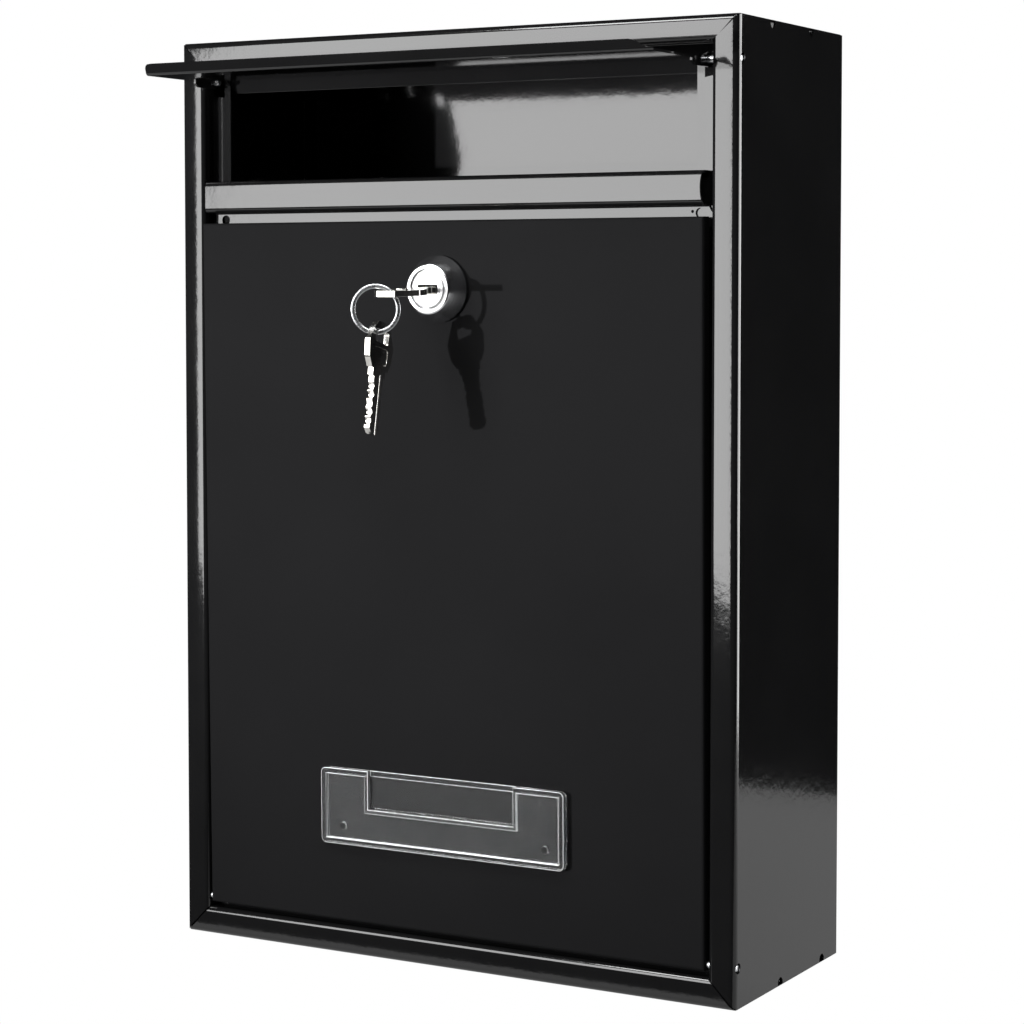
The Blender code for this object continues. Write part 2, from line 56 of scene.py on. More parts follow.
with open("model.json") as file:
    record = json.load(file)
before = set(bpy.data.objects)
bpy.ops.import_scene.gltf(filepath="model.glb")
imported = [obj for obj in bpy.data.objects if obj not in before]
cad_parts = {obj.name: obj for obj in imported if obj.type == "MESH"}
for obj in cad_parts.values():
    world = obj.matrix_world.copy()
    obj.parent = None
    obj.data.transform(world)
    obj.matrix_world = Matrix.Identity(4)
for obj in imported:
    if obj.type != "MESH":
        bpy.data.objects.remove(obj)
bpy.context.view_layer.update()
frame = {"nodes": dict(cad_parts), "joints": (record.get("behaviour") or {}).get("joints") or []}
JOINTS = {joint["name"]: joint for joint in frame["joints"]}
MM = 0.001
TINY = 1e-5
X_AXIS, Y_AXIS, Z_AXIS = Vector((1, 0, 0)), Vector((0, 1, 0)), Vector((0, 0, 1))


# ---------------------------------------------------------------- places read from the frame


def low(node):
    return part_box(node)[0]


def high(node):
    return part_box(node)[1]


def joint_place(name):
    return Vector(JOINTS[name]["pos_m"])


HALF_WIDTH = high("right_side_panel").x
FRONT, REAR = low("right_side_panel").y, high("right_side_panel").y
BOTTOM, TOP = low("bottom_panel").z, high("top_panel").z
FLAP_AXIS = joint_place("flap_hinge")
DOOR_AXIS = joint_place("door_hinge")
LOCK_FRONT = joint_place("lock_turn")
DOOR_LEAN = math.atan2(-JOINTS["lock_turn"]["axis"][2], -JOINTS["lock_turn"]["axis"][1])
RING_CENTRE = joint_place("ring_turn")
RING_NORMAL = Vector(JOINTS["ring_turn"]["axis"])
SPARE_HOOK = joint_place("spare_swing")


# ---------------------------------------------------------------- modelling helpers


def start_clean():
    """Leaves edit mode and deselects everything, so that the next operator acts on its own piece."""
    if bpy.context.mode != "OBJECT":
        bpy.ops.object.mode_set(mode="OBJECT")
    bpy.ops.object.select_all(action="DESELECT")


def activate(piece):
    start_clean()
    piece.select_set(True)
    bpy.context.view_layer.objects.active = piece


@contextmanager
def editing(piece):
    activate(piece)
    bpy.ops.object.mode_set(mode="EDIT")
    yield
    bpy.ops.object.mode_set(mode="OBJECT")


def settle(name=None):
    """Applies the new primitive's place, turn and size to its mesh, and names it."""
    piece = bpy.context.object
    bpy.ops.object.transform_apply(location=True, rotation=True, scale=True)
    if name:
        piece.name = piece.data.name = name
    return piece


def middle(item):
    if isinstance(item, bmesh.types.BMVert):
        return item.co.copy()
    return sum((vertex.co for vertex in item.verts), Vector()) / len(item.verts)


def choose(piece, kind, test):
    """In edit mode, selects the vertices, edges or faces that pass the test."""
    bpy.ops.mesh.select_mode(type=kind)
    bpy.ops.mesh.select_all(action="DESELECT")
    mesh = bmesh.from_edit_mesh(piece.data)
    items = {"VERT": mesh.verts, "EDGE": mesh.edges, "FACE": mesh.faces}[kind]
    for item in items:
        if test(item):
            item.select_set(True)
    bmesh.update_edit_mesh(piece.data)


def modify(piece, kind, **settings):
    """Adds a modifier and applies it."""
    activate(piece)
    modifier = piece.modifiers.new(kind.title(), kind)
    for name, value in settings.items():
        setattr(modifier, name, value)
    bpy.ops.object.modifier_apply(modifier=modifier.name)


def combine(piece, tool, operation="DIFFERENCE"):
    """Cuts a tool out of a piece, or joins it on, and removes the tool."""
    modify(piece, "BOOLEAN", object=tool, operation=operation, solver="EXACT")
    bpy.data.objects.remove(tool)


def block(low_corner, high_corner):
    start_clean()
    low_corner, high_corner = Vector(low_corner), Vector(high_corner)
    bpy.ops.mesh.primitive_cube_add(size=1, location=(low_corner + high_corner) / 2)
    bpy.context.object.scale = high_corner - low_corner
    return settle()


def rod(centre, axis, radius, length, sides=32):
    start_clean()
    turn = Z_AXIS.rotation_difference(Vector(axis)).to_euler()
    bpy.ops.mesh.primitive_cylinder_add(
        vertices=sides, radius=radius, depth=length, location=centre, rotation=turn
    )
    return settle()


def mend(piece):
    """Merges doubles and turns the faces outwards."""
    with editing(piece):
        bpy.ops.mesh.select_all(action="SELECT")
        bpy.ops.mesh.remove_doubles(threshold=1e-6)
        bpy.ops.mesh.normals_make_consistent(inside=False)


def slice_off(piece, place, normal):
    """Cuts a piece on a plane, drops the side that the normal points to and closes the cut."""
    with editing(piece):
        bpy.ops.mesh.select_all(action="SELECT")
        bpy.ops.mesh.bisect(plane_co=place, plane_no=normal, use_fill=True, clear_outer=True)


def soften(piece, width, segments=2, angle=math.radians(40)):
    """Breaks the sharp edges, as paint or plating does, and shades the piece smooth."""
    activate(piece)
    bpy.ops.object.shade_smooth()
    modify(
        piece,
        "BEVEL",
        width=width,
        segments=segments,
        limit_method="ANGLE",
        angle_limit=angle,
        harden_normals=True,
        use_clamp_overlap=True,
    )


def folded_sheet(name, corners, length, radii, thickness, steps=8):
    """Sheet folded along a line of corners in the middle of its thickness, and drawn out by a length."""
    along = length.normalized()
    across = corners[1] - corners[0]
    turn = Matrix((along, across.normalized(), along.cross(across).normalized())).transposed()
    start_clean()
    place = (corners[0] + corners[1] + length) / 2
    bpy.ops.mesh.primitive_plane_add(size=1, location=place, rotation=turn.to_euler())
    bpy.context.object.scale = (length.length, across.length, 1)
    sheet = settle(name)
    with editing(sheet):
        for corner, after in zip(corners[1:], corners[2:]):
            fold = corner + length / 2
            choose(sheet, "EDGE", lambda edge: (middle(edge) - fold).length < TINY)
            bpy.ops.mesh.extrude_region_move(TRANSFORM_OT_translate={"value": after - corner})
        for before, corner, after, radius in zip(corners, corners[1:], corners[2:], radii):
            fold = corner + length / 2
            choose(sheet, "EDGE", lambda edge: (middle(edge) - fold).length < TINY)
            reach = radius * math.tan((corner - before).angle(after - corner) / 2)
            bpy.ops.mesh.bevel(offset=reach, segments=steps, affect="EDGES", clamp_overlap=False)
    modify(sheet, "SOLIDIFY", thickness=thickness, offset=0, use_even_offset=True)
    mend(sheet)
    return sheet


def turned(name, profile, axis_point, axis, rounding=0.0, steps=64):
    """A turned piece. Its profile gives (radius, along) from the axis point; closed ends have radius 0."""
    axis = Vector(axis).normalized()
    out = axis.orthogonal().normalized()
    points = [Vector(axis_point) + out * radius + axis * along for radius, along in profile]
    start_clean()
    bpy.ops.mesh.primitive_plane_add(size=MM, location=points[0])
    piece = settle(name)
    with editing(piece):
        bpy.ops.mesh.select_mode(type="VERT")
        bpy.ops.mesh.select_all(action="SELECT")
        bpy.ops.mesh.merge(type="CENTER")
        for before, after in zip(points, points[1:]):
            bpy.ops.mesh.extrude_vertices_move(TRANSFORM_OT_translate={"value": after - before})
        if profile[0][0] and profile[-1][0]:
            choose(piece, "VERT", lambda v: len(v.link_edges) == 1)
            bpy.ops.mesh.edge_face_add()
        if rounding:
            choose(piece, "VERT", lambda v: len(v.link_edges) == 2)
            bpy.ops.mesh.bevel(offset=rounding, segments=3, affect="VERTICES")
        bpy.ops.mesh.select_all(action="SELECT")
        bpy.ops.mesh.spin(steps=steps, angle=2 * math.pi, center=axis_point, axis=axis)
    mend(piece)
    return piece


def plate_from(name, outline, thickness):
    """A flat plate on the XY plane with the given outline, thickened evenly to both sides."""
    start_clean()
    bpy.ops.mesh.primitive_circle_add(vertices=len(outline), radius=MM, fill_type="NGON")
    piece = settle(name)
    for vertex, (x, y) in zip(piece.data.vertices, outline):
        vertex.co = (x, y, -thickness / 2)
    with editing(piece):
        bpy.ops.mesh.select_all(action="SELECT")
        bpy.ops.mesh.extrude_region_move(TRANSFORM_OT_translate={"value": (0, 0, thickness)})
    mend(piece)
    return piece


def rounded(corners, radii, steps=6):
    """The points of a closed outline with rounded corners."""
    corners = [Vector(corner) for corner in corners]
    outline = []
    for index, radius in enumerate(radii):
        corner = corners[index]
        if not radius:
            outline.append(corner.to_tuple())
            continue
        back = (corners[index - 1] - corner).normalized()
        ahead = (corners[(index + 1) % len(corners)] - corner).normalized()
        half = back.angle(ahead) / 2
        centre = corner + (back + ahead).normalized() * radius / math.sin(half)
        start = corner + back * radius / math.tan(half) - centre
        end = corner + ahead * radius / math.tan(half) - centre
        sweep = start.angle_signed(end)
        for step in range(steps + 1):
            outline.append((centre + Matrix.Rotation(-sweep * step / steps, 2) @ start).to_tuple())
    return outline


def copied(piece, name, matrix):
    """A copy with its own mesh, put in place by a matrix."""
    activate(piece)
    bpy.ops.object.duplicate(linked=False)
    twin = bpy.context.object
    twin.data.transform(matrix)
    twin.name = twin.data.name = name
    if matrix.determinant() < 0:
        with editing(twin):
            bpy.ops.mesh.select_all(action="SELECT")
            bpy.ops.mesh.flip_normals()
    return twin


def finish_piece(piece, body, slot, finish, *nodes):
    """Gives a finished piece its finish, its body and the working solids that it stands for."""
    piece.data.materials.clear()
    piece.data.materials.append(finish_named(finish))
    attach(piece, body)
    if nodes:
        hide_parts(*nodes)


def lean_with_door(piece):
    """Turns a piece that was made upright about the door's pins, by the angle at which the door is ajar."""
    turn = Matrix.Rotation(DOOR_LEAN, 4, "X")
    piece.data.transform(Matrix.Translation(DOOR_AXIS) @ turn @ Matrix.Translation(-DOOR_AXIS))


def upright(point):
    """Where a point on the leaning door is when the door is shut."""
    turn = Matrix.Rotation(-DOOR_LEAN, 4, "X")
    return Matrix.Translation(DOOR_AXIS) @ turn @ Matrix.Translation(-DOOR_AXIS) @ Vector(point)


# ---------------------------------------------------------------- shader helpers


class Channel:
    """A number socket, so that a finish's sums are written as plain expressions."""

    def __init__(self, finish, socket):
        self.finish, self.socket = finish, socket

    def sum(self, operation, first, second):
        node = self.finish.node("ShaderNodeMath", {"operation": operation}, {0: first, 1: second})
        return Channel(self.finish, node.outputs[0])

    def __add__(self, other):
        return self.sum("ADD", self, other)

    __radd__ = __add__

    def __mul__(self, other):
        return self.sum("MULTIPLY", self, other)

    __rmul__ = __mul__

    def __sub__(self, other):
        return self.sum("SUBTRACT", self, other)

    def __rsub__(self, other):
        return self.sum("SUBTRACT", other, self)


class NodeTree:
    """A shader node tree, to which every node is added in the same way."""

    def __init__(self, owner):
        owner.use_nodes = True
        self.tree = owner.node_tree

    def node(self, kind, settings, sockets):
        """Adds a node, sets its settings and then its sockets, which take values or links."""
        node = self.tree.nodes.new(kind)
        for name, value in settings.items():
            if name == "stops":
                self.set_stops(node.color_ramp, value)
            else:
                setattr(node, name, value)
        for name, value in sockets.items():
            self.feed(node.inputs[name], value)
        return node

    def set_stops(self, ramp, stops):
        for index, (position, shade) in enumerate(stops):
            stop = ramp.elements[index] if index < 2 else ramp.elements.new(position)
            stop.position = position
            stop.color = (shade, shade, shade, 1)

    def feed(self, socket, value):
        if isinstance(value, Channel):
            value = value.socket
        if isinstance(value, bpy.types.NodeSocket):
            self.tree.links.new(value, socket)
        else:
            socket.default_value = value

    def white_to_camera(self, others, white):
        """White where the camera looks straight at it, and the other shader for all other rays."""
        camera = self.node("ShaderNodeLightPath", {}, {}).outputs["Is Camera Ray"]
        return self.node("ShaderNodeMixShader", {}, {0: camera, 1: others, 2: white}).outputs[0]


class Finish(NodeTree):
    """A material that is built up from procedural patterns on the piece's own coordinates."""

    def __init__(self, name):
        self.material = bpy.data.materials.new(name)
        super().__init__(self.material)
        self.surface = self.tree.nodes["Principled BSDF"]
        self.place = self.node("ShaderNodeTexCoord", {}, {}).outputs["Object"]

    def shader(self, **values):
        """Sets the surface's own sockets; an underscore stands for a space in a socket's name."""
        for name, value in values.items():
            self.feed(self.surface.inputs[name.replace("_", " ")], value)

    def noise(self, scale, detail=2.0, roughness=0.5, place=None):
        sockets = {"Scale": scale, "Detail": detail, "Roughness": roughness}
        sockets["Vector"] = place or self.place
        return Channel(self, self.node("ShaderNodeTexNoise", {}, sockets).outputs["Fac"])

    def stretched(self, scale):
        """The piece's coordinates, stretched so that a pattern runs in one direction."""
        return self.node("ShaderNodeMapping", {}, {"Vector": self.place, "Scale": scale}).outputs[0]

    def ramp(self, channel, *stops):
        node = self.node("ShaderNodeValToRGB", {"stops": stops}, {"Fac": channel})
        return Channel(self, node.outputs["Color"])

    def tint(self, amount, first, second):
        """A colour between two colours."""
        sockets = {"Factor": amount, 6: (*first, 1), 7: (*second, 1)}
        return self.node("ShaderNodeMix", {"data_type": "RGBA"}, sockets).outputs[2]

    def bump(self, height, strength, distance):
        sockets = {"Height": height, "Strength": strength, "Distance": distance}
        self.shader(Normal=self.node("ShaderNodeBump", {}, sockets).outputs[0])


def shade(colour, factor):
    return tuple(channel * factor for channel in colour)


FINISHES = {}


def finish_named(name):
    """The finish of that name, made when a piece first asks for it."""
    if name not in FINISHES:
        FINISHES[name] = FINISH_MAKERS[name]()
    return FINISHES[name]


def gloss_paint():
    """High-gloss powder coat: orange peel, faint cloudiness and fine handling marks."""
    colour = bpy.context.scene.letterbox_paint.gloss_colour
    finish = Finish("gloss_black_powder_coat")
    peel = finish.noise(820.0, 2.0, 0.55)
    swell = finish.noise(210.0, 1.0, 0.5)
    cloud = finish.noise(26.0, 3.0, 0.6)
    marks = finish.ramp(finish.noise(900.0, 4.0, 0.7), (0.62, 0.0), (0.74, 1.0))
    finish.shader(
        Base_Color=finish.tint(cloud, shade(colour, 0.8), shade(colour, 1.25)),
        Roughness=0.05 + 0.05 * cloud + 0.04 * marks,
        IOR=1.5,
        Coat_Weight=0.25,
        Coat_Roughness=0.04,
    )
    finish.bump(peel * 0.5 + swell, 0.2, 0.0001)
    return finish.material


def satin_paint():
    """Satin powder coat: an even fine grain that breaks up the light."""
    colour = bpy.context.scene.letterbox_paint.satin_colour
    finish = Finish("satin_black_powder_coat")
    grain = finish.noise(2600.0, 2.0, 0.6)
    cloud = finish.noise(14.0, 3.0, 0.6)
    finish.shader(
        Base_Color=finish.tint(cloud, shade(colour, 0.85), shade(colour, 1.2)),
        Roughness=0.46 + 0.06 * grain + 0.04 * cloud,
        IOR=1.45,
        Specular_IOR_Level=0.03,
    )
    finish.bump(grain, 0.25, 0.00008)
    return finish.material


def chrome_plate():
    """Polished chrome with the faint rings that turning leaves."""
    finish = Finish("polished_chrome")
    smear = finish.noise(180.0, 3.0, 0.6)
    finish.shader(
        Base_Color=finish.tint(smear, (0.80, 0.81, 0.83), (0.90, 0.90, 0.91)),
        Metallic=1.0,
        Roughness=0.14 + 0.1 * smear,
    )
    finish.bump(finish.noise(1500.0, 2.0, 0.5), 0.05, 0.00003)
    return finish.material


def satin_chrome():
    """The lock's satin face, with fine brushed lines."""
    finish = Finish("satin_chrome_face")
    lines = finish.noise(900.0, 3.0, 0.65, finish.stretched((0.08, 1.0, 1.0)))
    finish.shader(
        Base_Color=finish.tint(lines, (0.80, 0.80, 0.81), (0.93, 0.93, 0.93)),
        Metallic=1.0,
        Roughness=0.28 + 0.14 * lines,
    )
    finish.bump(lines, 0.12, 0.00004)
    return finish.material


def zinc_plate():
    """Bright zinc plate, slightly mottled."""
    finish = Finish("bright_zinc_plate")
    mottle = finish.noise(420.0, 4.0, 0.6)
    finish.shader(
        Base_Color=finish.tint(mottle, (0.50, 0.51, 0.53), (0.74, 0.75, 0.76)),
        Metallic=1.0,
        Roughness=0.2 + 0.16 * mottle,
    )
    finish.bump(mottle, 0.12, 0.00005)
    return finish.material


def nickel_plate():
    """Nickel plate over stamped brass, brushed along the key."""
    finish = Finish("nickel_plated_key")
    brushed = finish.noise(1400.0, 3.0, 0.6, finish.stretched((1.0, 0.12, 0.12)))
    wear = finish.ramp(finish.noise(260.0, 4.0, 0.65), (0.5, 0.0), (0.72, 1.0))
    finish.shader(
        Base_Color=finish.tint(wear, (0.78, 0.77, 0.74), (0.66, 0.62, 0.54)),
        Metallic=1.0,
        Roughness=0.08 + 0.1 * brushed + 0.06 * wear,
    )
    finish.bump(brushed, 0.15, 0.00004)
    return finish.material


def stamped_brass():
    """Stamped brass, slightly tarnished."""
    finish = Finish("stamped_brass")
    tarnish = finish.noise(300.0, 4.0, 0.65)
    finish.shader(
        Base_Color=finish.tint(tarnish, (0.74, 0.56, 0.26), (0.48, 0.34, 0.15)),
        Metallic=1.0,
        Roughness=0.24 + 0.18 * tarnish,
    )
    finish.bump(tarnish, 0.1, 0.00004)
    return finish.material


def clear_plastic(name="clear_moulded_plastic", clearness=0.988):
    """Clear moulded plastic with a slight haze and fine scuffs."""
    finish = Finish(name)
    haze = finish.noise(60.0, 3.0, 0.6)
    scuffs = finish.ramp(finish.noise(1100.0, 4.0, 0.7), (0.6, 0.0), (0.75, 1.0))
    finish.shader(
        Base_Color=finish.tint(haze, (0.93, 0.95, 0.96), (0.98, 0.985, 0.99)),
        Roughness=0.03 + 0.05 * haze + 0.12 * scuffs,
        Transmission_Weight=clearness,
        IOR=1.49,
    )
    finish.bump(finish.noise(240.0, 2.0, 0.5), 0.12, 0.00008)
    return finish.material


def painted_edge_highlight():
    """Painted highlight for the moulding's rounded edges: a near-opaque, milky copy of the clear plastic, so
    that they look white as if they caught the light.
    """
    return clear_plastic("milky_edge_painted_highlight", 0.15)


FINISH_MAKERS = {
    "gloss": gloss_paint,
    "satin": satin_paint,
    "chrome": chrome_plate,
    "satin chrome": satin_chrome,
    "zinc": zinc_plate,
    "nickel": nickel_plate,
    "brass": stamped_brass,
    "clear": clear_plastic,
    # painted highlight: the window's rounded edges are given a near-opaque milky plastic so they look white
    "edge painted highlight": painted_edge_highlight,
}


# ---------------------------------------------------------------- sizes and colours that a user would change


def length_setting(label, description, default):
    return FloatProperty(
        name=label, description=description, default=default, subtype="DISTANCE", unit="LENGTH", precision=5
    )


def colour_setting(label, description, default):
    return FloatVectorProperty(
        name=label, description=description, default=default, subtype="COLOR", min=0.0, max=1.0
    )


class PaintSettings(PropertyGroup):
    gloss_colour: colour_setting("Casing colour", "Powder coat of the casing and flap", (0.003, 0.003, 0.0031))
    satin_colour: colour_setting("Door colour", "Powder coat of the door", (0.004, 0.004, 0.0042))


class CasingSettings(PropertyGroup):
    sheet: length_setting("Sheet", "Thickness of the folded sheet", 0.8 * MM)
    stile: length_setting("Stile", "Width of the frame's sides, seen from the front", 9.75 * MM)
    top_rail: length_setting("Top rail", "Height of the frame's top", 8.4 * MM)
    bottom_rail: length_setting("Bottom rail", "Height of the frame's bottom", 9.8 * MM)
    stop_depth: length_setting("Stop depth", "How far back the stop flange lies", 6.0 * MM)
    outer_fold: length_setting("Outer fold", "Radius of the casing's front edges", 1.8 * MM)
    inner_fold: length_setting("Inner fold", "Radius of the frame's inner edges", 1.6 * MM)
    stop_fold: length_setting("Stop fold", "Radius of the fold at the stop flange", 0.9 * MM)
    mitre_gap: length_setting("Mitre gap", "Half of the seam between the panels", 0.3 * MM)
    notch_radius: length_setting("Notch radius", "Radius of the jig notches in the sides' edges", 2.0 * MM)
    notch_depth: length_setting("Notch depth", "Depth of the jig notches", 3.0 * MM)
    screw_hole: length_setting("Screw hole", "Radius of the wall-screw holes", 2.75 * MM)


class FlapSettings(PropertyGroup):
    sheet: length_setting("Sheet", "Thickness of the flap", 0.8 * MM)
    lip_fold: length_setting("Lip fold", "Radius of the fold at the lip", 0.9 * MM)
    rear_gap: length_setting("Rear gap", "How far in front of the frame the flap's rear edge lies", 4.5 * MM)
    lip_lean: length_setting("Lip lean", "How far the lip's top leans forward", 1.1 * MM)


class DoorSettings(PropertyGroup):
    sheet: length_setting("Sheet", "Thickness of the door", 0.8 * MM)
    fold: length_setting("Fold", "Radius of the door's front edges", 1.3 * MM)
    depth: length_setting("Depth", "Depth of the door's flanges", 4.6 * MM)


class PlateSettings(PropertyGroup):
    rim: length_setting("Rim", "Width of the window's raised rim", 1.9 * MM)
    notch_half: length_setting("Notch half width", "Half the width of the thumb notch", 28.85 * MM)
    notch_depth: length_setting("Notch depth", "Depth of the thumb notch", 13.4 * MM)
    corner: length_setting("Corner", "Radius of the window's corners", 1.8 * MM)


class LockSettings(PropertyGroup):
    head: length_setting("Head", "Radius of the lock's head where it meets the door", 11.3 * MM)
    face: length_setting("Face", "Radius of the lock's face", 8.15 * MM)
    face_proud: length_setting("Face height", "How far the face stands out of the door", 7.8 * MM)
    barrel: length_setting("Barrel", "Radius of the threaded barrel", 8.0 * MM)
    plug: length_setting("Plug", "Radius of the turning plug's head", 6.6 * MM)


class KeySettings(PropertyGroup):
    thickness: length_setting("Thickness", "Thickness of a key", 2.0 * MM)
    whole: length_setting("Length", "Length of a key", 37.5 * MM)
    bow: length_setting("Bow length", "Length of a key's bow", 18.5 * MM)
    bow_half: length_setting("Bow half width", "Half the width of the bow", 9.1 * MM)
    blade_half: length_setting("Blade half width", "Half the width of the blade", 3.5 * MM)
    wire: length_setting("Ring wire", "Half the thickness of the split ring's flat wire", 0.29 * MM)
    wire_width: length_setting("Ring wire width", "Half the width of the flat wire", 0.78 * MM)
    turns: IntProperty(name="Ring turns", description="Turns of wire in the split ring", default=2, min=1)


class StageSettings(PropertyGroup):
    floor_drop: length_setting("Floor drop", "How far below the box the floor lies", 0.24)
    softbox_glow: FloatProperty(name="Softbox glow", description="Brightness of the softbox", default=7.6)
    key_power: FloatProperty(name="Key light", description="Watts of the small key light", default=260.0)
    focal: FloatProperty(name="Focal length", description="Camera lens in millimetres", default=91.5)


# ---------------------------------------------------------------- the casing


PAINT_ROUNDING = 0.3 * MM
SIDE_SPRING, LEVEL_SPRING = 0.3 * MM, -2.3 * MM
PIN_HOLE, PIN_BEARING = 1.75 * MM, 1.33 * MM
WAFERS = 4


def frame_corners(casing, rail, stop_width, wall_out, inward, front_back, spring):
    """The corners of a frame panel's folds. wall_out is a point on the wall's outer face, inward points
    into the box and front_back from the front to the wall. The stop flange's free edge springs forward
    by a little, or lies back where the fold is closed further."""
    half = casing.sheet / 2
    depth = REAR - FRONT
    folds = [
        (half, depth),
        (half, half),
        (rail - half, half),
        (rail - half, casing.stop_depth + half),
        (stop_width, casing.stop_depth + half - spring),
    ]
    return [wall_out + inward * across + front_back * back for across, back in folds]


def drill_pin_holes(panel, side):
    """The holes for the flap's and the door's pins, through the wall and the return."""
    for axis in (FLAP_AXIS, DOOR_AXIS):
        centre = Vector((side * (HALF_WIDTH - 5 * MM), axis.y, axis.z))
        combine(panel, rod(centre, X_AXIS, PIN_HOLE, 14 * MM, 24))


def cut_jig_notches(panel, casing):
    """U-shaped notches in the wall's top and bottom edges, where a jig held it for welding."""
    radius, depth = casing.notch_radius, casing.notch_depth
    walls = (HALF_WIDTH - 1.5 * casing.sheet, HALF_WIDTH + MM)
    top_notches, bottom_notches = (26.6 * MM, 58.2 * MM), (36.4 * MM, 71.8 * MM)
    for edge, inwards, backs in ((TOP, -1, top_notches), (BOTTOM, 1, bottom_notches)):
        for back in backs:
            centre = Vector((sum(walls) / 2, FRONT + back, edge + inwards * (depth - radius)))
            combine(panel, rod(centre, X_AXIS, radius, walls[1] - walls[0], 24))
            ends = sorted((centre.z, edge - inwards * MM))
            corners = ((walls[0], centre.y - radius, ends[0]), (walls[1], centre.y + radius, ends[1]))
            combine(panel, block(*corners))


class LETTERBOX_OT_side_panels(Operator):
    """Fold the two side panels, with mitred ends, jig notches and pin holes"""

    bl_idname = "letterbox.side_panels"
    bl_label = "Side Panels"
    bl_options = {"REGISTER", "UNDO"}

    def execute(self, context):
        casing = context.scene.letterbox_casing
        stop_width = HALF_WIDTH - low("right_side_panel").x
        wall = Vector((HALF_WIDTH, FRONT, BOTTOM))
        corners = frame_corners(casing, casing.stile, stop_width, wall, -X_AXIS, Y_AXIS, SIDE_SPRING)
        radii = (casing.outer_fold, casing.inner_fold, casing.stop_fold)
        length = Vector((0, 0, TOP - BOTTOM))
        panel = folded_sheet("right_side_sheet", corners, length, radii, casing.sheet, 10)
        top_corner = Vector((HALF_WIDTH, 0, TOP - casing.mitre_gap))
        slice_off(panel, top_corner, Vector((-casing.top_rail / casing.stile, 0, 1)))
        bottom_corner = Vector((HALF_WIDTH, 0, BOTTOM + casing.mitre_gap))
        slice_off(panel, bottom_corner, Vector((-casing.bottom_rail / casing.stile, 0, -1)))
        self.trim_stop(panel, casing)
        drill_pin_holes(panel, 1)
        cut_jig_notches(panel, casing)
        soften(panel, PAINT_ROUNDING, 3)
        mirror = Matrix.Diagonal((-1, 1, 1, 1))
        left = copied(panel, "left_side_sheet", mirror)
        finish_piece(panel, "casing", "gloss_paint", "gloss", "right_side_panel")
        finish_piece(left, "casing", "gloss_paint", "gloss", "left_side_panel")
        return {"FINISHED"}

    def trim_stop(self, panel, casing):
        """Takes the stop flange's top end off along a slant, just under the top panel's flange."""
        inner, outer = HALF_WIDTH - casing.stile + 0.4 * MM, low("right_side_panel").x - MM
        top_flange = low("top_panel").z
        front = FRONT + casing.stop_depth - 0.2 * MM
        cutter = block((outer, front, top_flange - 2.2 * MM), (inner, front + 2 * casing.sheet, TOP))
        for vertex in cutter.data.vertices:
            if vertex.co.z < TOP - MM and vertex.co.x > inner - MM:
                vertex.co.z += 1.6 * MM
        combine(panel, cutter)


class LETTERBOX_OT_level_panels(Operator):
    """Fold the casing's top and bottom, mitred to the sides"""

    bl_idname = "letterbox.level_panels"
    bl_label = "Top and Bottom Panels"
    bl_options = {"REGISTER", "UNDO"}

    def execute(self, context):
        casing = context.scene.letterbox_casing
        panels = (
            ("top", casing.top_rail, TOP, -1, TOP - low("top_panel").z),
            ("bottom", casing.bottom_rail, BOTTOM, 1, high("bottom_panel").z - BOTTOM),
        )
        for label, rail, edge, inwards, stop_width in panels:
            wall = Vector((-HALF_WIDTH, FRONT, edge))
            corners = frame_corners(
                casing, rail, stop_width, wall, Z_AXIS * inwards, Y_AXIS, LEVEL_SPRING
            )
            length = Vector((2 * HALF_WIDTH, 0, 0))
            radii = (casing.outer_fold, casing.inner_fold, casing.stop_fold)
            panel = folded_sheet(f"{label}_sheet", corners, length, radii, casing.sheet, 10)
            for side in (-1, 1):
                corner = Vector((side * (HALF_WIDTH - casing.mitre_gap), 0, edge))
                slice_off(panel, corner, Vector((side, 0, casing.stile / rail * inwards)))
                self.relieve_corner(panel, casing, side, edge + inwards * stop_width, inwards)
            soften(panel, PAINT_ROUNDING, 3)
            finish_piece(panel, "casing", "gloss_paint", "gloss", f"{label}_panel")
        return {"FINISHED"}

    def relieve_corner(self, panel, casing, side, stop_edge, inwards):
        """A curved relief where the stop flange meets the side's."""
        x = side * (HALF_WIDTH - casing.stile - 4.2 * MM)
        centre = Vector((x, FRONT + casing.stop_depth, stop_edge - inwards * 0.6 * MM))
        combine(panel, rod(centre, Y_AXIS, 1.9 * MM, 6 * MM, 24))


class LETTERBOX_OT_back_panel(Operator):
    """Press the back panel, a shallow tray with four wall-screw holes"""

    bl_idname = "letterbox.back_panel"
    bl_label = "Back Panel"
    bl_options = {"REGISTER", "UNDO"}

    screw_places = (78 * MM, 112 * MM)

    def execute(self, context):
        casing = context.scene.letterbox_casing
        panel = block(low("back_panel"), high("back_panel"))
        panel.name = panel.data.name = "back_sheet"
        front = low("back_panel").y
        with editing(panel):
            choose(panel, "FACE", lambda face: face.normal.y < -0.9)
            bpy.ops.mesh.delete(type="FACE")
            choose(panel, "EDGE", lambda edge: abs(middle(edge).y - front) > TINY)
            bpy.ops.mesh.bevel(offset=1.2 * MM, segments=6, affect="EDGES")
        modify(panel, "SOLIDIFY", thickness=casing.sheet, offset=-1, use_even_offset=True)
        mend(panel)
        across, up = self.screw_places
        for x in (-across, across):
            for z in (-up, up):
                combine(panel, rod((x, REAR, z), Y_AXIS, casing.screw_hole, 6 * MM, 40))
        soften(panel, PAINT_ROUNDING, 3)
        finish_piece(panel, "casing", "gloss_paint", "gloss", "back_panel")
        return {"FINISHED"}


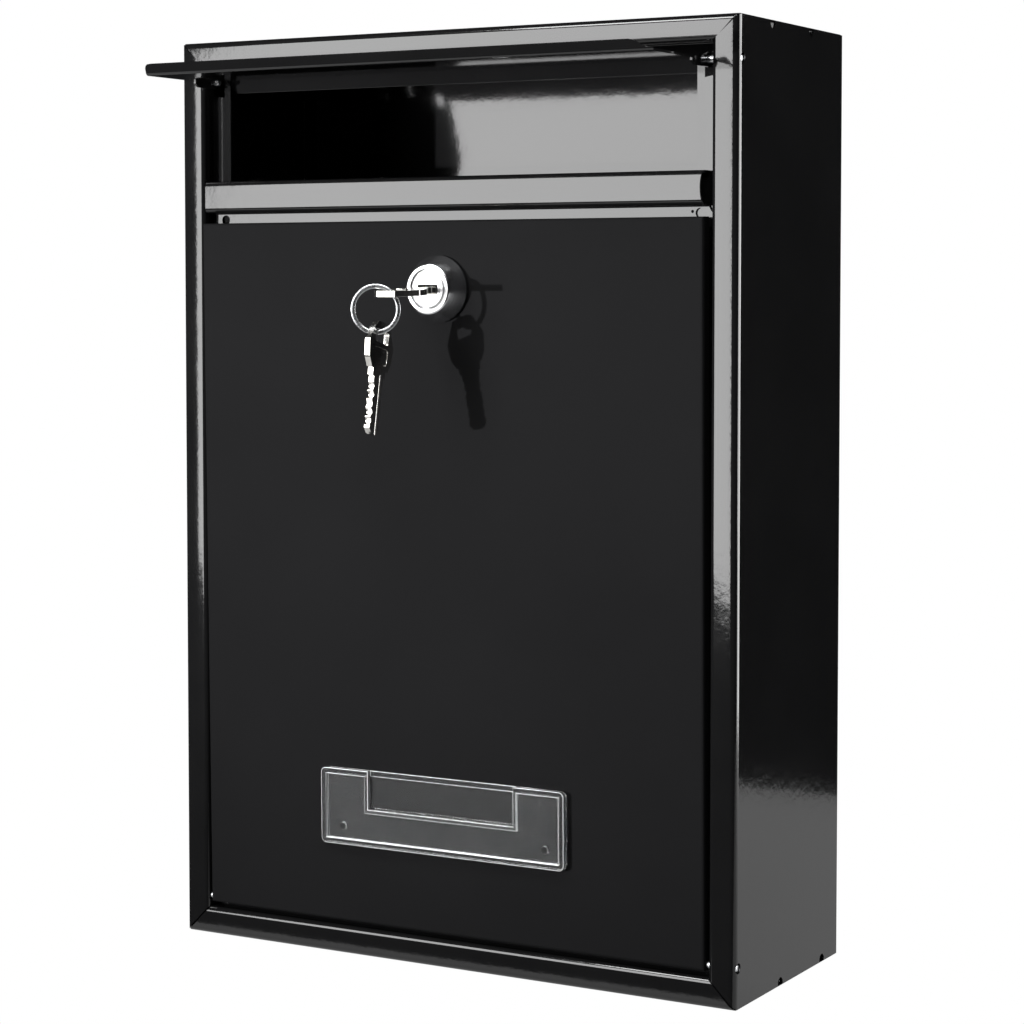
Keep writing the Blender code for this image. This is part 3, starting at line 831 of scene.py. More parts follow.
class LETTERBOX_OT_cross_rail(Operator):
    """Fold the rail between the slot and the door, with its relief notches"""

    bl_idname = "letterbox.cross_rail"
    bl_label = "Cross Rail"
    bl_options = {"REGISTER", "UNDO"}

    def execute(self, context):
        casing = context.scene.letterbox_casing
        first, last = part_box("cross_rail")
        half = casing.sheet / 2
        rail_bottom = last.z - 11.2 * MM
        flange = FRONT + 4.9 * MM + half
        corners = [
            Vector((first.x, FRONT + casing.stop_depth - 0.3 * MM, last.z - half)),
            Vector((first.x, FRONT + half, last.z - half)),
            Vector((first.x, FRONT + half, rail_bottom + half)),
            Vector((first.x, flange, rail_bottom + half)),
            Vector((first.x, flange, first.z)),
        ]
        radii = (1.5 * MM, 1.5 * MM, casing.stop_fold)
        length = Vector((last.x - first.x, 0, 0))
        rail = folded_sheet("cross_rail_sheet", corners, length, radii, casing.sheet, 10)
        for side in (-1, 1):
            notch = Vector((side * (last.x - 5.5 * MM), flange, first.z + 4.6 * MM))
            combine(rail, rod(notch, Y_AXIS, 1.7 * MM, 3 * MM, 32))
        drilled = Vector((last.x - 8.3 * MM, flange, rail_bottom - 1.9 * MM))
        combine(rail, rod(drilled, Y_AXIS, 0.5 * MM, 3 * MM, 24))
        self.shorten_face(rail, rail_bottom, last)
        soften(rail, PAINT_ROUNDING, 3)
        finish_piece(rail, "casing", "gloss_paint", "gloss", "cross_rail")
        return {"FINISHED"}

    def shorten_face(self, rail, rail_bottom, last):
        """The rail's face ends a little before its lower flange does, with a hollow curve."""
        face_end, reach = last.x - 2.7 * MM, 3 * MM
        far_corner = (last.x + MM, FRONT + 8 * MM, last.z + MM)
        combine(rail, block((face_end, FRONT - MM, rail_bottom), far_corner))
        centre = Vector((face_end + reach, FRONT, (rail_bottom + last.z) / 2))
        hollow = rod(centre, Y_AXIS, 1.0, 16 * MM, 48)
        half = (last.z - rail_bottom) / 2
        stretch = Matrix.Diagonal((reach + 0.8 * MM, 1, half + 3 * MM, 1))
        shape = Matrix.Translation(centre) @ stretch @ Matrix.Translation(-centre)
        hollow.data.transform(shape)
        combine(rail, hollow)


class LETTERBOX_OT_hinge_pins(Operator):
    """Turn the four hinge pins, with chamfered ends"""

    bl_idname = "letterbox.hinge_pins"
    bl_label = "Hinge Pins"
    bl_options = {"REGISTER", "UNDO"}

    def execute(self, context):
        for name in ("flap_hinge_pin", "door_hinge_pin"):
            node = f"{name}_right"
            first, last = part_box(node)
            radius = (last.z - first.z) / 2
            start = Vector((first.x, (first.y + last.y) / 2, (first.z + last.z) / 2))
            length, lead = last.x - first.x, 0.35 * MM
            profile = [(0, 0), (radius - lead, 0), (radius, lead), (radius, length - lead)]
            profile += [(radius - lead, length), (0, length)]
            pin = turned(f"{name}_turned_right", profile, start, X_AXIS, 0.08 * MM, 32)
            soften(pin, 0.05 * MM)
            twin = copied(pin, f"{name}_turned_left", Matrix.Diagonal((-1, 1, 1, 1)))
            finish_piece(pin, "casing", "zinc_steel", "zinc", node)
            finish_piece(twin, "casing", "zinc_steel", "zinc", f"{name}_left")
        return {"FINISHED"}


# ---------------------------------------------------------------- the flap and the door


class LETTERBOX_OT_flap(Operator):
    """Fold the flap, with its turned-up lip and the two ears that ride on the pins"""

    bl_idname = "letterbox.flap"
    bl_label = "Letter Flap"
    bl_options = {"REGISTER", "UNDO"}

    def execute(self, context):
        settings = context.scene.letterbox_flap
        half = settings.sheet / 2
        first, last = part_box("flap_panel")
        side = last.x - 0.1 * MM
        level = FLAP_AXIS.z + 0.1 * MM
        corners = [
            Vector((-side, FRONT - settings.rear_gap, level)),
            Vector((-side, first.y + half + settings.lip_lean, level)),
            Vector((-side, first.y + half, last.z)),
        ]
        length = Vector((2 * side, 0, 0))
        flap = folded_sheet("flap_sheet", corners, length, (settings.lip_fold,), settings.sheet, 10)
        combine(flap, self.right_end_cutter(first, last))
        combine(flap, self.left_end_cutter(first, last))
        for sign in (-1, 1):
            combine(flap, self.ear(settings, sign, last.x), "UNION")
            centre = Vector((sign * (last.x - half), FLAP_AXIS.y, FLAP_AXIS.z))
            combine(flap, rod(centre, X_AXIS, PIN_BEARING, 4 * MM, 32))
        mend(flap)
        soften(flap, PAINT_ROUNDING, 3)
        finish_piece(flap, "flap", "gloss_paint", "gloss", "flap_panel")
        return {"FINISHED"}

    def right_end_cutter(self, first, last):
        """Takes the lip away along an S-shaped curve from its top down to the sheet."""
        start, end, base, steps = 88.6 * MM, 96.2 * MM, FLAP_AXIS.z + 0.75 * MM, 14
        outline = [(start, last.z + MM)]
        for step in range(steps + 1):
            share = step / steps
            drop = 0.5 - 0.5 * math.cos(math.pi * share)
            outline.append((start + (end - start) * share, last.z - (last.z - base) * drop))
        outline += [(99 * MM, base), (99 * MM, last.z + MM)]
        return self.standing(outline, first)

    def left_end_cutter(self, first, last):
        """Rounds the lip's other end."""
        end, radius, steps = -last.x + 0.1 * MM, 1.9 * MM, 8
        outline = [(end - MM, last.z + MM), (end - MM, last.z - radius)]
        for step in range(steps + 1):
            angle = math.pi / 2 * step / steps
            x = end + radius - radius * math.cos(angle)
            outline.append((x, last.z - radius + radius * math.sin(angle)))
        outline.append((end + radius, last.z + MM))
        return self.standing(outline, first)

    def standing(self, outline, first):
        """A cutter with an outline in x and z, through the lip."""
        cutter = plate_from("lip_cutter", outline, 5 * MM)
        stand = Matrix.Translation((0, first.y + MM, 0)) @ Matrix.Rotation(math.pi / 2, 4, "X")
        cutter.data.transform(stand)
        return cutter

    def ear(self, settings, sign, outer):
        """The bent-down tab at the flap's end, in outline y and z."""
        radius, top, low_edge = 2.4 * MM, FLAP_AXIS.z + 0.45 * MM, FLAP_AXIS.z - 2.3 * MM
        front, neck = FRONT - 9 * MM, FRONT - 1.5 * MM
        outline = [(front, top), (front, low_edge + 1.2 * MM), (front + 2 * MM, low_edge)]
        for step in range(17):
            angle = math.radians(-90 + 180 * step / 16)
            y = FLAP_AXIS.y + radius * math.cos(angle)
            outline.append((y, FLAP_AXIS.z + radius * math.sin(angle)))
        outline.append((neck, top))
        ear = plate_from("flap_ear", outline, settings.sheet)
        stand = Matrix(((0, 0, 1, 0), (1, 0, 0, 0), (0, 1, 0, 0), (0, 0, 0, 1)))
        place = Matrix.Translation((sign * (outer - settings.sheet / 2), 0, 0))
        ear.data.transform(place @ stand)
        return ear


class LETTERBOX_OT_door(Operator):
    """Press the door, a shallow tray that hangs on the two lower pins"""

    bl_idname = "letterbox.door"
    bl_label = "Door"
    bl_options = {"REGISTER", "UNDO"}

    def execute(self, context):
        door = context.scene.letterbox_door
        plate = context.scene.letterbox_plate
        half = high("door_panel").x
        base = DOOR_AXIS.z - 1.8 * MM
        top = base + 244 * MM
        panel = block((-half, FRONT, base), (half, FRONT + door.depth, top))
        panel.name = panel.data.name = "door_sheet"
        with editing(panel):
            choose(panel, "FACE", lambda face: face.normal.y > 0.9)
            bpy.ops.mesh.delete(type="FACE")
            choose(panel, "EDGE", lambda edge: middle(edge).y < FRONT + TINY)
            bpy.ops.mesh.bevel(offset=door.fold, segments=8, affect="EDGES", clamp_overlap=False)
        modify(panel, "SOLIDIFY", thickness=door.sheet, offset=-1, use_even_offset=True)
        mend(panel)
        lock = upright(LOCK_FRONT)
        barrel = context.scene.letterbox_lock.barrel
        combine(panel, rod((0, FRONT, lock.z), Y_AXIS, barrel + 0.3 * MM, 6 * MM, 64))
        for side in (-1, 1):
            centre = Vector((side * (half - 1.5 * MM), DOOR_AXIS.y, DOOR_AXIS.z))
            combine(panel, rod(centre, X_AXIS, PIN_BEARING, 8 * MM, 32))
            combine(panel, rod(post_place(plate, side), Y_AXIS, 1.5 * MM, 6 * MM, 24))
        soften(panel, 0.25 * MM, 3)
        lean_with_door(panel)
        finish_piece(panel, "door", "satin_paint", "satin", "door_panel")
        return {"FINISHED"}


def post_place(plate, side):
    """Where the name-plate window's posts pass through the shut door."""
    bottom = upright((0, FRONT, low("nameplate_window").z)).z
    return Vector((side * 40 * MM, FRONT, bottom + 6.1 * MM))


class LETTERBOX_OT_nameplate(Operator):
    """Mould the clear name-plate window, with its rim, thumb notch and two posts"""

    bl_idname = "letterbox.nameplate"
    bl_label = "Name Plate Window"
    bl_options = {"REGISTER", "UNDO"}

    def execute(self, context):
        plate = context.scene.letterbox_plate
        half = high("nameplate_window").x
        bottom = upright((0, FRONT, low("nameplate_window").z)).z
        top = bottom + 26.4 * MM
        front, rear = FRONT - 2.9 * MM, FRONT - 0.3 * MM
        window = block((-half, front, bottom), (half, rear, top))
        window.name = window.data.name = "nameplate_moulding"
        with editing(window):
            choose(window, "EDGE", lambda edge: abs(edge.verts[0].co.y - edge.verts[1].co.y) > MM)
            bpy.ops.mesh.bevel(offset=plate.corner, segments=6, affect="EDGES")
        combine(window, self.recess(plate, half, bottom, top, front))
        notch_low, back_layer = top - plate.notch_depth, rear - 0.6 * MM
        corner = Vector((plate.notch_half, back_layer, top + MM))
        combine(window, block((-corner.x, front - MM, notch_low), corner))
        side_rim = half - plate.rim
        pocket = block(
            (-side_rim, back_layer - 0.6 * MM, bottom + plate.rim), (side_rim, back_layer, top - plate.rim)
        )
        combine(window, pocket)
        for side in (-1, 1):
            start = post_place(plate, side)
            profile = [(0, -1.6), (1.2, -1.6), (1.2, 1.1), (2.2, 1.15)]
            profile += [(2.1, 1.6), (1.4, 1.9), (0, 1.9)]
            profile = [(radius * MM, along * MM) for radius, along in profile]
            post = turned("post", profile, start, Y_AXIS, 0, 32)
            combine(window, post, "UNION")
        mend(window)
        soften(window, 0.3 * MM, 3)
        lean_with_door(window)
        finish_piece(window, "door", "clear_plastic", "clear", "nameplate_window")
        # Painted highlight: the rounded edges get the milky, near-opaque copy of the clear plastic, so they
        # look white.
        window.data.materials.append(finish_named("edge painted highlight"))
        for polygon in window.data.polygons:
            rounded_edge = -0.97 < polygon.normal.y < -0.15
            polygon.material_index = 1 if rounded_edge else 0
        return {"FINISHED"}

    def recess(self, plate, half, bottom, top, front):
        """The face's recess, which stops short of the rim and of the ledge round the thumb notch."""
        rim = plate.rim
        y_low, y_high = front - MM, front + 0.7 * MM
        recess = block((-half + rim, y_low, bottom + rim), (half - rim, y_high, top - rim))
        reach = plate.notch_half + 1.3 * MM
        ledge_low = top - plate.notch_depth - 1.3 * MM
        combine(recess, block((-reach, y_low - MM, ledge_low), (reach, y_high + MM, top + MM)))
        return recess


# ---------------------------------------------------------------- the lock


def lock_parts_place():
    """The point on the shut door's front plane on the lock's axis, and the axis's direction inwards."""
    lock = upright(LOCK_FRONT)
    return Vector((0, FRONT, lock.z)), Y_AXIS


def turned_on_door(name, profile, rounding=0.0, steps=64):
    origin, axis = lock_parts_place()
    profile = [(radius * MM, along * MM) for radius, along in profile]
    return turned(name, profile, origin, axis, rounding * MM, steps)


class LETTERBOX_OT_lock(Operator):
    """Turn the lock's body, its washer and its nut"""

    bl_idname = "letterbox.lock"
    bl_label = "Lock Body and Nut"
    bl_options = {"REGISTER", "UNDO"}

    def execute(self, context):
        lock = context.scene.letterbox_lock
        head, face, proud = lock.head / MM, lock.face / MM, lock.face_proud / MM
        barrel, plug = lock.barrel / MM, lock.plug / MM
        bore = 5.5
        profile = [(bore, 12.8), (barrel - 0.4, 12.8), (barrel, 12.4)]
        profile += self.thread(barrel, 11.8, 2.4)
        profile += [(barrel, 1.6), (barrel, -0.3), (head, -0.3), (head, -1.1)]
        profile += [(face + 0.25, 0.25 - proud)]
        profile += [(face - 0.2, -proud), (plug + 0.3, -proud), (plug + 0.3, -6.2), (bore, -6.2)]
        body = turned_on_door("lock_body_turned", profile, 0.05, 96)
        soften(body, 0.04 * MM)
        lean_with_door(body)
        finish_piece(body, "door", "chrome", "chrome", "lock_body")
        self.polish_face(body, proud)

        section = [(barrel + 0.3, 1.1), (11.2, 1.1), (11.2, 1.9), (barrel + 0.3, 1.9)]
        washer = turned_on_door("lock_washer_turned", section, 0.1, 64)
        soften(washer, 0.04 * MM)
        lean_with_door(washer)
        finish_piece(washer, "door", "zinc_steel", "zinc", "lock_washer")
        self.nut(barrel)
        return {"FINISHED"}

    def thread(self, radius, start, end, pitch=1.0, depth=0.35):
        """The barrel's thread, as grooves one pitch apart."""
        points = []
        turns = int((start - end) / pitch)
        for turn in range(turns):
            along = start - turn * pitch
            points += [(radius, along), (radius - depth, along - 0.4 * pitch)]
            points += [(radius, along - 0.8 * pitch)]
        return points

    def polish_face(self, body, proud):
        """The face that looks forward has a satin finish; the cone stays polished."""
        body.data.materials.append(finish_named("satin chrome"))
        for polygon in body.data.polygons:
            if polygon.normal.y < -0.98:
                polygon.material_index = 1

    def nut(self, barrel):
        origin, axis = lock_parts_place()
        start, end, radius = 2.2, 5.7, 11.5
        nut = rod(origin + axis * (start + end) / 2 * MM, axis, radius * MM, (end - start) * MM, 6)
        nut.name = nut.data.name = "lock_nut_hexagon"
        turn = Matrix.Translation(origin) @ Matrix.Rotation(math.radians(30), 4, "Y")
        nut.data.transform(turn @ Matrix.Translation(-origin))
        shoulder = 1.3
        profile = [(0, start - 2), (radius - 1.5, start - 2), (radius - shoulder, start)]
        profile += [(radius, start + 0.7), (radius, end - 0.7), (radius - shoulder, end)]
        profile += [(radius - 1.5, end + 2), (0, end + 2)]
        combine(nut, turned_on_door("nut_chamfer", profile, 0, 64), "INTERSECT")
        middle_along = (start + end) / 2 * MM
        combine(nut, rod(origin + axis * middle_along, axis, (barrel + 0.3) * MM, 8 * MM, 64))
        mend(nut)
        soften(nut, 0.1 * MM)
        lean_with_door(nut)
        finish_piece(nut, "door", "zinc_steel", "zinc", "lock_nut")


class LETTERBOX_OT_lock_core(Operator):
    """Turn and cut the plug, the cam, its washer and its screw"""

    bl_idname = "letterbox.lock_core"
    bl_label = "Plug and Cam"
    bl_options = {"REGISTER", "UNDO"}

    def execute(self, context):
        self.plug(context.scene.letterbox_lock)
        self.cam()
        washer = turned_on_door("cam_washer_turned", [(1.9, 15.3), (5, 15.3), (5, 16), (1.9, 16)], 0.1, 48)
        profile = [(0, 12.3), (1.3, 12.3), (1.5, 12.6), (1.5, 16.3), (3.5, 16.3)]
        profile += [(3.5, 17.3), (2.4, 18.25), (0, 18.25)]
        screw = turned_on_door("cam_screw_turned", profile, 0.08, 48)
        origin, axis = lock_parts_place()
        for turn in (0, math.pi / 2):
            slot = block((-1.7 * MM, 17.4 * MM, -0.3 * MM), (1.7 * MM, 20 * MM, 0.3 * MM))
            slot.data.transform(Matrix.Translation(origin) @ Matrix.Rotation(turn, 4, "Y"))
            combine(screw, slot)
        for piece, node in ((washer, "cam_washer"), (screw, "cam_screw")):
            soften(piece, 0.04 * MM)
            lean_with_door(piece)
            finish_piece(piece, "lock_core", "zinc_steel", "zinc", node)
        for index in range(WAFERS):
            wafer = frame["nodes"][f"wafer_{index + 1}"]
            wafer.data.materials.clear()
            wafer.data.materials.append(finish_named("brass"))
        return {"FINISHED"}

    def at_lock(self, low_corner, high_corner):
        origin, _ = lock_parts_place()
        tool = block([value * MM for value in low_corner], [value * MM for value in high_corner])
        tool.data.transform(Matrix.Translation(origin))
        return tool

    def plug(self, lock):
        radius, core = lock.plug / MM, 5.2
        profile = [(0, -7.6), (radius - 0.7, -7.6), (radius, -7.2), (radius, -6.5)]
        profile += [(core, -6.5), (core, 13), (0, 13)]
        plug = turned_on_door("lock_plug_turned", profile, 0.05, 72)
        groove = [(4.9, -8.4), (5.2, -8.4), (5.2, -7.42), (4.9, -7.42)]
        ring = turned_on_door("face_groove", groove, 0, 72)
        combine(plug, ring)
        combine(plug, self.at_lock((-3, 12, -3), (3, 15, 3)), "UNION")
        combine(plug, self.at_lock((-3.9, -9, -1.5), (3.9, 11.6, 1.5)))
        origin, axis = lock_parts_place()
        combine(plug, rod(origin + axis * 14.5 * MM, axis, 1.8 * MM, 5 * MM, 32))
        for index in range(WAFERS):
            start = -3.5 + 3 * index
            combine(plug, self.at_lock((-6, start - 0.3, -2.5), (6, start + 1.3, 2.5)))
        mend(plug)
        soften(plug, 0.08 * MM)
        lean_with_door(plug)
        finish_piece(plug, "lock_core", "chrome", "satin chrome", "lock_plug")

    def cam(self):
        """The cam is cranked forward, with a round tip and a square hole for the plug's tail."""
        origin, _ = lock_parts_place()
        half_high = 6.0 * MM
        folds = [(-8.0, 14.05), (9.6, 14.05), (12.4, 10.05), (27.0, 10.05)]
        corners = [origin + Vector((x * MM, along * MM, -half_high)) for x, along in folds]
        length = Vector((0, 0, 2 * half_high))
        cam = folded_sheet("cam_lever_bent", corners, length, (1.2 * MM, 1.2 * MM), 1.5 * MM, 6)
        with editing(cam):
            ends = (origin.x - 7.9 * MM, origin.x + 26.9 * MM)
            choose(
                cam,
                "EDGE",
                lambda edge: abs(edge.verts[0].co.y - edge.verts[1].co.y) > MM
                and (middle(edge).x < ends[0] or middle(edge).x > ends[1]),
            )
            bpy.ops.mesh.bevel(offset=4.4 * MM, segments=8, affect="EDGES")
        combine(cam, self.at_lock((-3.3, 12, -3.3), (3.3, 16, 3.3)))
        soften(cam, 0.15 * MM)
        lean_with_door(cam)
        finish_piece(cam, "lock_core", "zinc_steel", "zinc", "cam_lever")


# ---------------------------------------------------------------- the keys


def key_outline(key):
    """A key from above, x across and y from the bow's end to the tip. Both edges are alike."""
    blade, bow, collar = key.blade_half, key.bow, key.blade_half + 1.1 * MM
    corners = [(4.2 * MM, 0), (key.bow_half, 7.2 * MM), (8.2 * MM, 12.8 * MM)]
    corners += [(5.8 * MM, bow - 2.6 * MM)]
    corners += [(collar, bow - 2.6 * MM), (collar, bow), (blade, bow)]
    radii = [1.8 * MM, 1.4 * MM, 2.2 * MM, 0.8 * MM, 0, 0.4 * MM, 0]
    cuts = (0.7, 1.1, 0.5, 0.95, 0.75)
    for index, depth in enumerate(cuts):
        centre = bow + 3.4 * MM + index * 2.9 * MM
        floor = blade - depth * MM
        flat, flank = 0.45 * MM, 1.2 * MM
        corners += [(blade, centre - flank), (floor, centre - flat)]
        corners += [(floor, centre + flat), (blade, centre + flank)]
        radii += [0, 0, 0, 0]
    corners += [(blade, key.whole - 1.6 * MM), (1.5 * MM, key.whole)]
    radii += [0, 0]
    mirrored = [(-x, y) for x, y in reversed(corners)]
    return rounded(corners + mirrored, radii + radii[::-1])


def make_key(key, name):
    """A flat key with its ring slot, a stamped field on each side of the bow and milled blade grooves."""
    piece = plate_from(name, key_outline(key), key.thickness)
    slot_wide, slot_high, slot_up = 5.0 * MM, 2.0 * MM, 4.9 * MM
    corners = [(-slot_wide, -slot_high), (slot_wide, -slot_high)]
    corners += [(slot_wide, slot_high), (-slot_wide, slot_high)]
    outline = [(x, y + slot_up) for x, y in rounded(corners, [0.6 * MM] * 4)]
    combine(piece, plate_from("slot", outline, 4 * key.thickness))
    face = key.thickness / 2
    for side in (-1, 1):
        field = [(-5.6, 8.6), (5.6, 8.6), (4.6, 13.9), (-4.6, 13.9)]
        outline = rounded([(x * MM, y * MM) for x, y in field], [1.6 * MM] * 4)
        stamp = plate_from("stamp", outline, 0.5 * MM)
        stamp.data.transform(Matrix.Translation((0, 0, side * (face + 0.05 * MM))))
        combine(piece, stamp)
        start = Vector((side * 1.1 * MM, (key.bow + key.whole) / 2, side * (face + 0.25 * MM)))
        combine(piece, rod(start, Y_AXIS, 0.75 * MM, key.whole - key.bow + 2 * MM, 20))
    mend(piece)
    soften(piece, 0.16 * MM, 2)
    return piece


class LETTERBOX_OT_keys(Operator):
    """Cut a key for the lock and a spare that hangs from the ring"""

    bl_idname = "letterbox.keys"
    bl_label = "Keys"
    bl_options = {"REGISTER", "UNDO"}

    def execute(self, context):
        settings = context.scene.letterbox_keys
        blank = make_key(settings, "key_blank")
        spare = copied(blank, "spare_key_cut", self.spare_matrix())
        blank.data.transform(self.lock_matrix())
        blank.name = blank.data.name = "key_cut"
        finish_piece(blank, "key", "nickel", "nickel", "key")
        finish_piece(spare, "spare_key", "nickel", "nickel", "spare_key")
        return {"FINISHED"}

    def lock_matrix(self):
        """The key in the lock hangs a little from the play in the keyway."""
        lock = upright(LOCK_FRONT)
        pivot = Vector((0, FRONT - 4 * MM, lock.z))
        droop = Matrix.Rotation(math.radians(2.25), 4, "X")
        droop = Matrix.Translation(pivot) @ droop @ Matrix.Translation(-pivot)
        lean = Matrix.Rotation(DOOR_LEAN, 4, "X")
        lean = Matrix.Translation(DOOR_AXIS) @ lean @ Matrix.Translation(-DOOR_AXIS)
        return lean @ droop @ Matrix.Translation((0, FRONT - 34 * MM, lock.z))

    def spare_matrix(self):
        """The spare hangs by one end of its slot from the bottom of the ring, so it hangs askew."""
        hanging = Matrix.Rotation(math.radians(7), 4, "Z") @ Matrix.Rotation(math.radians(-13), 4, "X")
        down = Matrix(((0, 0, 1, 0), (1, 0, 0, 0), (0, -1, 0, 0), (0, 0, 0, 1)))
        hook = Vector((-3.5 * MM, 4.1 * MM, 0))
        return Matrix.Translation(SPARE_HOOK) @ hanging @ down @ Matrix.Translation(-hook)


class LETTERBOX_OT_key_ring(Operator):
    """Wind the split ring from wire"""

    bl_idname = "letterbox.key_ring"
    bl_label = "Split Ring"
    bl_options = {"REGISTER", "UNDO"}

    def execute(self, context):
        settings = context.scene.letterbox_keys
        radius = (SPARE_HOOK - RING_CENTRE).length
        travel = 2 * settings.wire * settings.turns * 0.96
        start_clean()
        bpy.ops.mesh.primitive_circle_add(
            vertices=20,
            radius=settings.wire,
            location=(radius, 0, -travel / 2),
            rotation=(math.pi / 2, 0, 0),
        )
        ring = settle("key_ring_wound")
        widen = settings.wire_width / settings.wire
        flatten = Matrix.Translation((radius, 0, 0)) @ Matrix.Diagonal((widen, 1, 1, 1))
        ring.data.transform(flatten @ Matrix.Translation((-radius, 0, 0)))
        modify(
            ring,
            "SCREW",
            angle=2 * math.pi * settings.turns,
            screw_offset=travel,
            axis="Z",
            steps=72 * settings.turns,
            render_steps=72 * settings.turns,
            use_merge_vertices=False,
        )
        with editing(ring):
            mesh = bmesh.from_edit_mesh(ring.data)
            open_edges = {edge.index for edge in mesh.edges if edge.is_boundary}
            choose(ring, "EDGE", lambda edge: edge.index in open_edges)
            bpy.ops.mesh.edge_face_add()
        turn = Z_AXIS.rotation_difference(RING_NORMAL).to_matrix().to_4x4()
        ends_at = Matrix.Rotation(math.radians(-118), 4, "Z")
        ring.data.transform(Matrix.Translation(RING_CENTRE) @ turn @ ends_at)
        mend(ring)
        soften(ring, 0.08 * MM)
        finish_piece(ring, "key_ring", "zinc_steel", "zinc", "key_ring")
        return {"FINISHED"}


# ---------------------------------------------------------------- the stage


def glow(name, colour, strength):
    """An emitting material for a softbox."""
    material = bpy.data.materials.new(name)
    nodes = NodeTree(material)
    nodes.tree.nodes.clear()
    light = nodes.node("ShaderNodeEmission", {}, {"Color": (*colour, 1), "Strength": strength})
    nodes.node("ShaderNodeOutputMaterial", {}, {"Surface": light.outputs[0]})
    return material


def area_light(name, place, target, size, watts):
    """A rectangular light that faces a target."""
    data = bpy.data.lights.new(name, "AREA")
    data.shape = "RECTANGLE"
    data.size, data.size_y = size
    data.energy = watts
    light = bpy.data.objects.new(name, data)
    light.location = place
    light.rotation_euler = (Vector(target) - Vector(place)).to_track_quat("-Z", "Y").to_euler()
    bpy.context.scene.collection.objects.link(light)
    return light


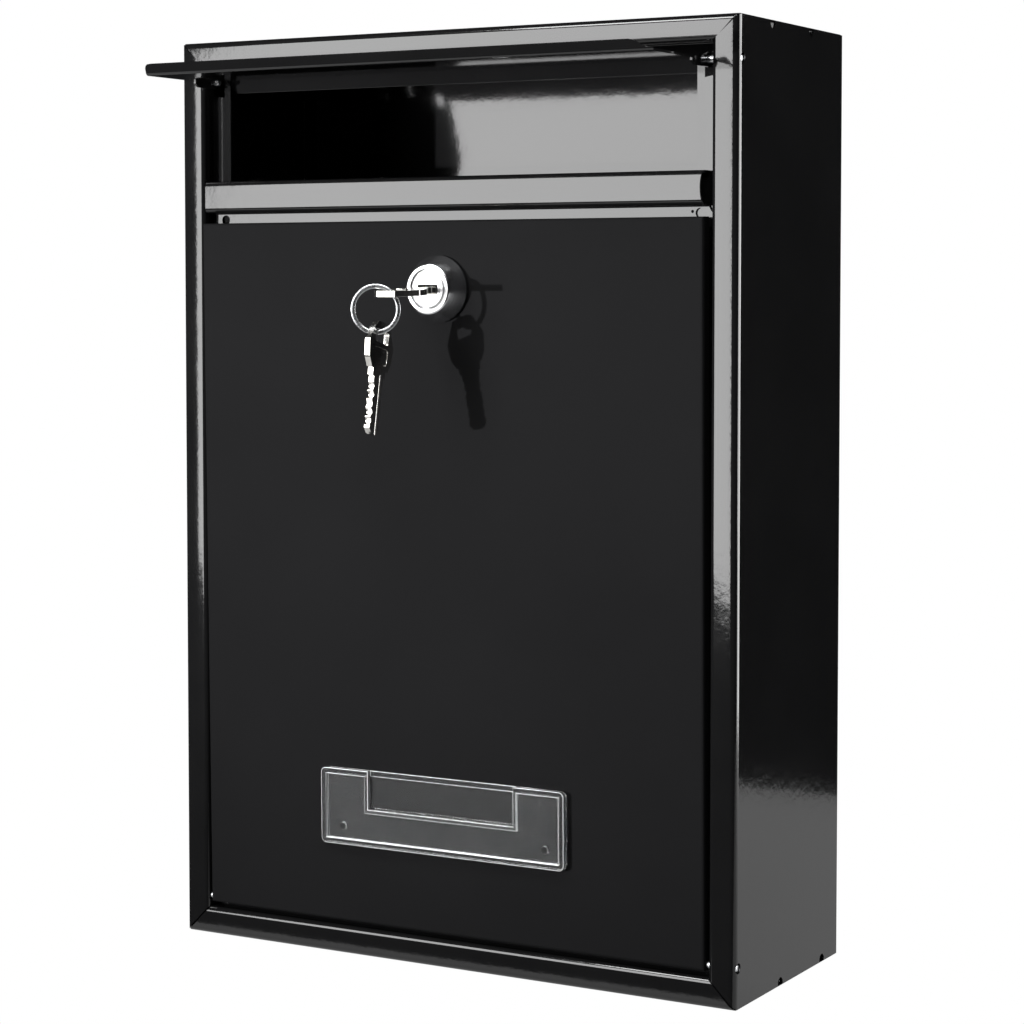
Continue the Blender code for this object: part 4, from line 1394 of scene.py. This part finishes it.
class LETTERBOX_OT_stage(Operator):
    """Set the camera, the floor, the softboxes and the key light"""

    bl_idname = "letterbox.stage"
    bl_label = "Stage"
    bl_options = {"REGISTER", "UNDO"}

    eye = (0.45438, 0.75501, 0.23351)
    look_down, azimuth = 2.936, 29.536
    lens_shift = -0.09

    def execute(self, context):
        settings = context.scene.letterbox_stage
        self.camera(context, settings)
        self.world(context)
        self.floor(settings)
        self.lights(settings)
        context.scene.view_settings.view_transform = "Standard"
        return {"FINISHED"}

    def camera(self, context, settings):
        data = bpy.data.cameras.new("Camera")
        data.lens = settings.focal
        data.shift_y = self.lens_shift
        camera = bpy.data.objects.new("Camera", data)
        right, ahead, up = self.eye
        camera.location = (right, FRONT - ahead, BOTTOM + up)
        camera.rotation_euler = (math.radians(90 - self.look_down), 0, math.radians(self.azimuth))
        context.scene.collection.objects.link(camera)
        context.scene.camera = camera

    def world(self, context):
        """A surround that is white to the camera and nearly black to the pieces, to keep the paint black."""
        world = bpy.data.worlds.new("Studio")
        nodes = NodeTree(world)
        nodes.tree.nodes.clear()
        dim = nodes.node("ShaderNodeBackground", {}, {"Color": (0.012, 0.012, 0.0125, 1)})
        white = nodes.node("ShaderNodeBackground", {}, {"Color": (1, 1, 1, 1)})
        surround = nodes.white_to_camera(dim.outputs[0], white.outputs[0])
        nodes.node("ShaderNodeOutputWorld", {}, {"Surface": surround})
        context.scene.world = world

    def floor(self, settings):
        """A floor well below the box, white to the camera and a mid grey to everything else."""
        start_clean()
        level = BOTTOM - settings.floor_drop
        bpy.ops.mesh.primitive_plane_add(size=1, location=(0.6, 0.35, level))
        bpy.context.object.scale = (2.6, 2.1, 1)
        floor = settle("floor")
        material = bpy.data.materials.new("pale_floor")
        nodes = NodeTree(material)
        matte = nodes.tree.nodes["Principled BSDF"]
        nodes.feed(matte.inputs["Base Color"], (0.42, 0.42, 0.42, 1))
        nodes.feed(matte.inputs["Roughness"], 0.9)
        white = nodes.node("ShaderNodeEmission", {}, {})
        surface = nodes.white_to_camera(matte.outputs[0], white.outputs[0])
        nodes.feed(nodes.tree.nodes["Material Output"].inputs["Surface"], surface)
        floor.data.materials.append(material)

    def lights(self, settings):
        target = Vector((0, FRONT, 0))
        softbox = self.softbox(settings)
        data = bpy.data.lights.new("key_light", "SPOT")
        data.energy = settings.key_power
        data.shadow_soft_size = 0.012
        data.spot_size = math.radians(34)
        data.spot_blend = 1.0
        key = bpy.data.objects.new("key_light", data)
        key.location = (-0.68, FRONT - 1.22, 0.0)
        aim = Vector((0, FRONT, TOP - 0.03))
        key.rotation_euler = (aim - key.location).to_track_quat("-Z", "Y").to_euler()
        key.visible_glossy = False
        bpy.context.scene.collection.objects.link(key)
        area_light("top_light", (0.5, 0.3, 1.9), (0.5, 0.4, -0.4), (1.6, 1.6), 3)
        area_light("edge_light", (1.79, 1.0, 0.1), target, (1.87, 1.4), 62)
        area_light("overhead_strip", (0.0, -1.0, 1.3), target, (1.6, 0.5), 38)

    def softbox(self, settings):
        """A large glowing panel in front on the left, whose reflection shows in the gloss paint."""
        start_clean()
        near, far = math.radians(36.6), math.radians(9.0)
        distance, base, top = 1.25, -0.19, 0.75
        bpy.ops.mesh.primitive_plane_add(size=1)
        softbox = settle("softbox")
        places = [(near, base), (far, base), (near, top), (far, top)]
        eye_x = -0.103
        for vertex, (angle, height) in zip(softbox.data.vertices, places):
            x = eye_x - math.tan(angle) * distance
            vertex.co = (x, FRONT - distance, height)
        softbox.data.materials.append(glow("softbox_glow", (1, 1, 1), settings.softbox_glow))
        softbox.visible_camera = False
        return softbox


# ---------------------------------------------------------------- the sidebar panel and the run


class LETTERBOX_PT_builder(Panel):
    """Lists the steps that build the letterbox"""

    bl_label = "Letterbox"
    bl_idname = "LETTERBOX_PT_builder"
    bl_space_type = "VIEW_3D"
    bl_region_type = "UI"
    bl_category = "Letterbox"

    def draw(self, context):
        for operator in OPERATORS:
            self.layout.operator(operator.bl_idname)


SETTINGS = {
    "letterbox_paint": PaintSettings,
    "letterbox_casing": CasingSettings,
    "letterbox_flap": FlapSettings,
    "letterbox_door": DoorSettings,
    "letterbox_plate": PlateSettings,
    "letterbox_lock": LockSettings,
    "letterbox_keys": KeySettings,
    "letterbox_stage": StageSettings,
}

OPERATORS = (
    LETTERBOX_OT_side_panels,
    LETTERBOX_OT_level_panels,
    LETTERBOX_OT_back_panel,
    LETTERBOX_OT_cross_rail,
    LETTERBOX_OT_hinge_pins,
    LETTERBOX_OT_flap,
    LETTERBOX_OT_door,
    LETTERBOX_OT_nameplate,
    LETTERBOX_OT_lock,
    LETTERBOX_OT_lock_core,
    LETTERBOX_OT_keys,
    LETTERBOX_OT_key_ring,
    LETTERBOX_OT_stage,
)


def register():
    for name, group in SETTINGS.items():
        bpy.utils.register_class(group)
        setattr(bpy.types.Scene, name, PointerProperty(type=group))
    for operator in OPERATORS:
        bpy.utils.register_class(operator)
    bpy.utils.register_class(LETTERBOX_PT_builder)


def unregister():
    bpy.utils.unregister_class(LETTERBOX_PT_builder)
    for operator in reversed(OPERATORS):
        bpy.utils.unregister_class(operator)
    for name, group in reversed(SETTINGS.items()):
        delattr(bpy.types.Scene, name)
        bpy.utils.unregister_class(group)


def main():
    register()
    for operator in OPERATORS:
        name = operator.bl_idname.split(".")[1]
        getattr(bpy.ops.letterbox, name)()


if __name__ == "__main__":
    main()
